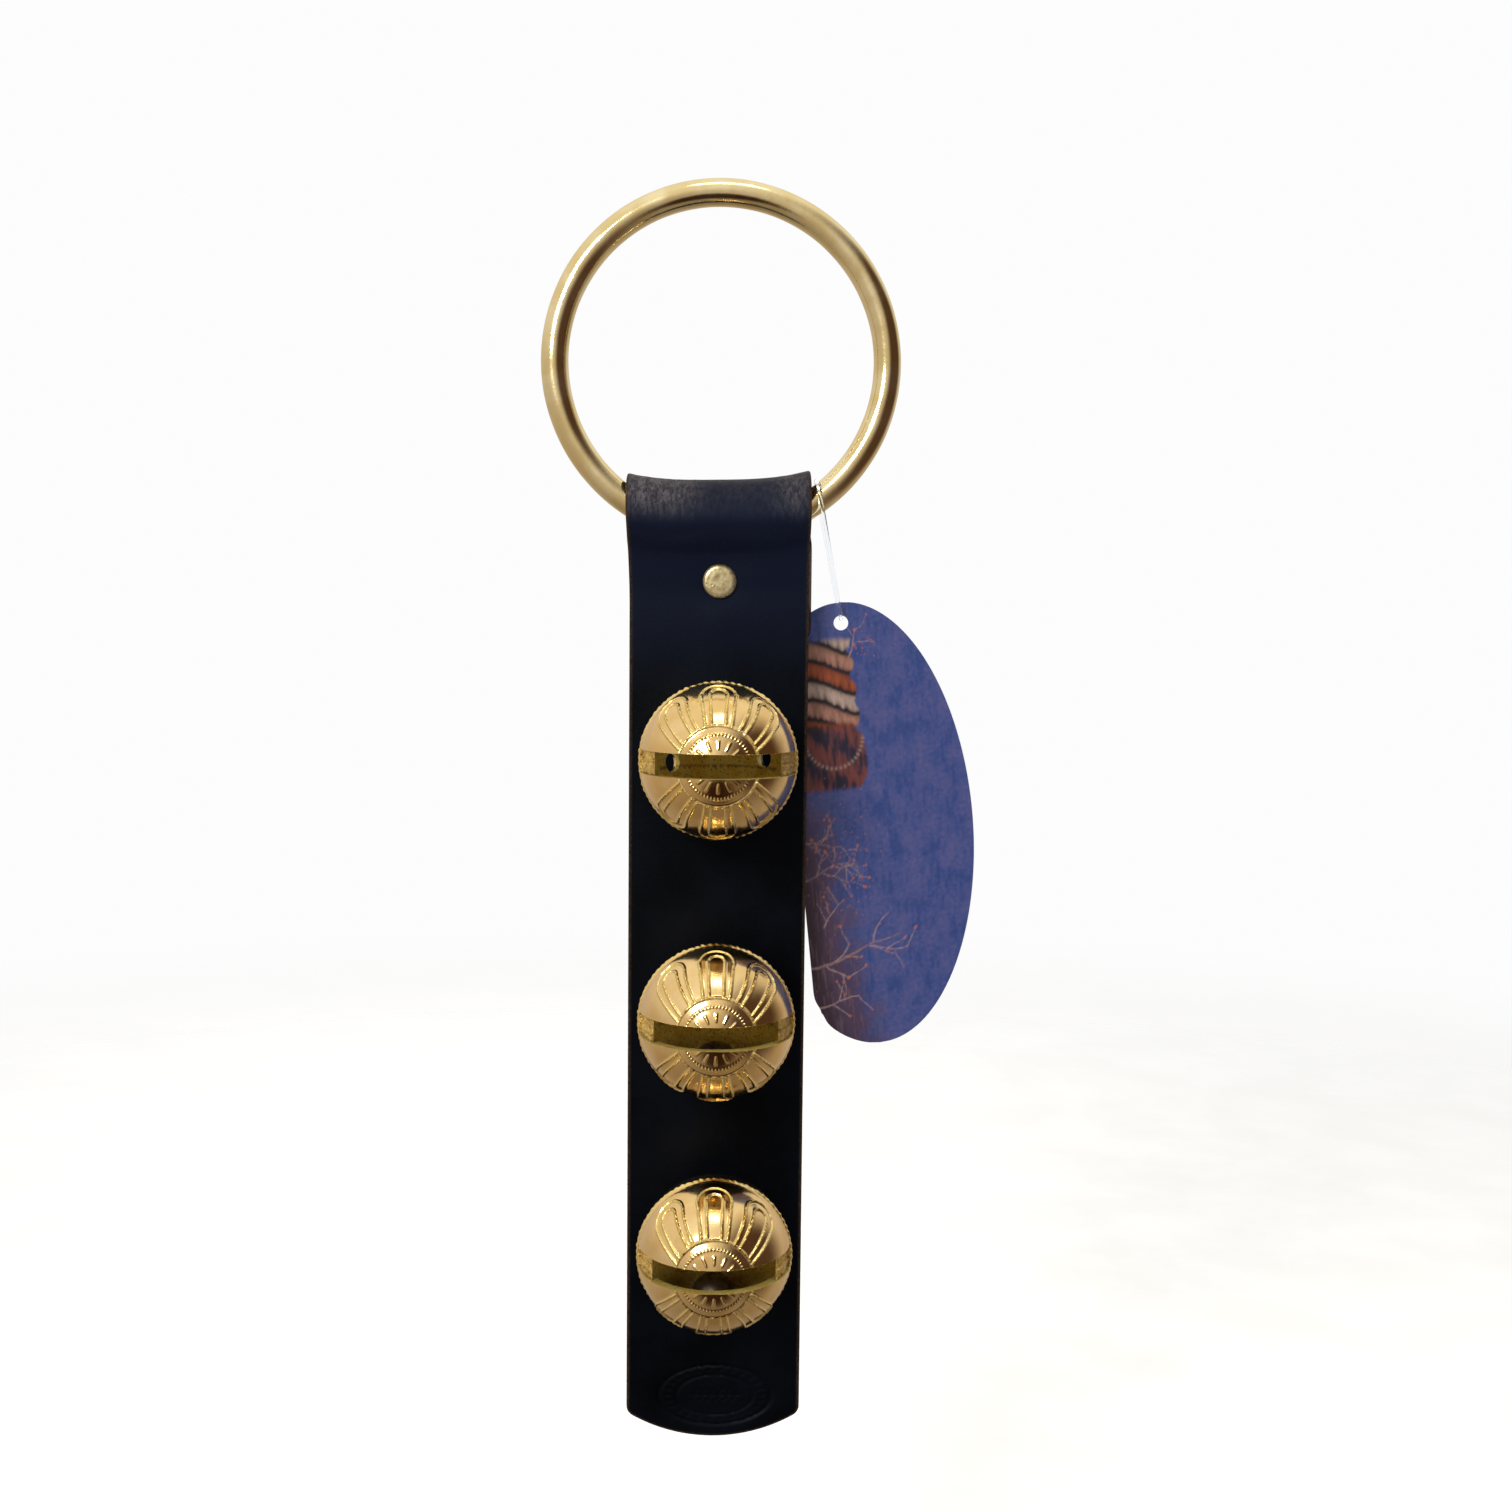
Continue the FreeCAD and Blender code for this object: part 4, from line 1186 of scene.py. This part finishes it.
def make_room():
    """Soft surroundings: near white where the camera looks, and a warm room where metal reflects it."""
    world = bpy.data.worlds.new("room")
    bpy.context.scene.world = world
    nodes = Nodes(world)
    direction = nodes.add("TexCoord", "Generated")
    height = nodes.add("SeparateXYZ", "Z", {0: direction})
    height = nodes.add("MapRange", 0, {"Value": height, "From Min": -1.0})
    room = nodes.add("ValToRGB", 0, {0: height})
    stops = room.node.color_ramp.elements
    stops[0].color, stops[1].color = tone(128, 112, 94), tone(250, 242, 228)
    for place, colour in ((0.28, (178, 162, 144)), (0.50, (196, 182, 168)), (0.70, (226, 214, 198))):
        stops.new(place).color = tone(*colour)
    # Two darker patches, one low in front and one to the right.
    for toward, reach, colour in (((0.04, -0.76, -0.66), 0.33, tone(52, 34, 26)),
                                  ((0.85, -0.45, 0.05), 0.75, tone(80, 60, 50))):
        inputs = {0: direction, 1: Vector(toward).normalized()}
        apart = nodes.add("VectorMath", "Value", inputs, operation="DISTANCE")
        room = nodes.mottle(apart, reach * 1.5, reach * 0.7, room, colour)

    def glow(colour, strength):
        return nodes.add("Background", 0, {"Color": colour, "Strength": strength})

    rays = nodes.add("LightPath").node.outputs
    lit = nodes.either(rays["Is Glossy Ray"], glow(tone(250, 248, 244), 0.55), glow(room, 1.05))
    direct = nodes.maths("MAXIMUM", rays["Is Camera Ray"], rays["Is Transmission Ray"])
    seen = nodes.either(direct, lit, glow((0.98, 0.98, 0.98, 1), 1.0))
    nodes.add("OutputWorld", 0, {"Surface": seen})


def soft_light(name, place, width, height, power, colour, mirrored=False):
    """A rectangular light that faces the hanger's middle."""
    light = bpy.data.lights.new(name, "AREA")
    light.shape = "RECTANGLE"
    light.size = width
    light.size_y = height
    light.energy = power
    light.color = colour
    holder = put(name, light)
    holder.location = place
    ahead = (cad_box[0] + cad_box[1]) / 2 - Vector(place)
    holder.rotation_euler = ahead.to_track_quat("-Z", "Y").to_euler()
    holder.visible_glossy = mirrored


def make_lights():
    soft_light("window", (-0.42, -0.85, 0.36), 0.26, 0.30, 8.0, (1.0, 0.985, 0.95), mirrored=True)
    soft_light("lamp", (0.02, -0.36, 0.86), 0.30, 0.18, 0.7, (1.0, 0.96, 0.86), mirrored=True)
    soft_light("ceiling", (0.05, -0.30, 0.95), 0.90, 0.60, 6.0, (1.0, 0.98, 0.95))
    soft_light("fill", (0.85, -0.55, 0.0), 0.50, 0.70, 4.0, (0.93, 0.96, 1.0))
    soft_light("back", (-0.2, 0.95, 0.35), 0.70, 0.60, 4.0, (1.0, 1.0, 1.0))


def make_camera():
    """The eye is about level with the first bell, a forearm's length in front of the strap."""
    camera = bpy.data.cameras.new("camera")
    camera.sensor_width = 36.0
    camera.lens = 39.29
    camera.clip_start = 0.01
    camera.clip_end = 50.0
    eye = Matrix.Translation((-0.0005, -0.3546, -0.0541))
    pitch, yaw, roll = radians(-4.71), radians(1.40), radians(0.59)
    look = Matrix.Rotation(-yaw, 4, "Z") @ Matrix.Rotation(radians(90) + pitch, 4, "X")
    holder = put("camera", camera)
    holder.matrix_world = eye @ look @ Matrix.Rotation(roll, 4, "Z")
    bpy.context.scene.camera = holder
    bpy.context.scene.view_settings.view_transform = "Standard"


def main():
    gold = polished_brass("bell_gold", tone(236, 202, 138), tone(246, 218, 162), tone(255, 236, 140), 0.13)
    pale = polished_brass("ring_gold", tone(232, 214, 160), tone(244, 232, 188), tone(240, 218, 164), 0.11)
    inside = cast_brass("bell_inside", tone(232, 190, 66), tone(255, 238, 140), 0.5, 0.18, 0.5)
    cast = cast_brass("bell_cast", tone(150, 110, 44), tone(234, 204, 124), 0.34, 0.5, 0.95)
    steel = bare_steel("ball_steel", tone(70, 62, 58), tone(118, 108, 100), 0.34)
    plate = bare_steel("zinc_plate", tone(176, 178, 176), tone(212, 212, 208), 0.30)
    make_ring(pale)
    make_strap(black_leather())
    make_rivet(rubbed_rivet())
    pattern = cast_bell(gold, inside, cast)
    for number in (1, 2, 3):
        place_bell(number, pattern)
        make_pea(number, steel)
        make_washer(number, plate)
        make_cotter(number, plate)
    bpy.data.objects.remove(pattern)
    make_loop(clear_plastic())
    make_tag(printed_card())
    make_floor()
    make_room()
    make_lights()
    make_camera()


main()
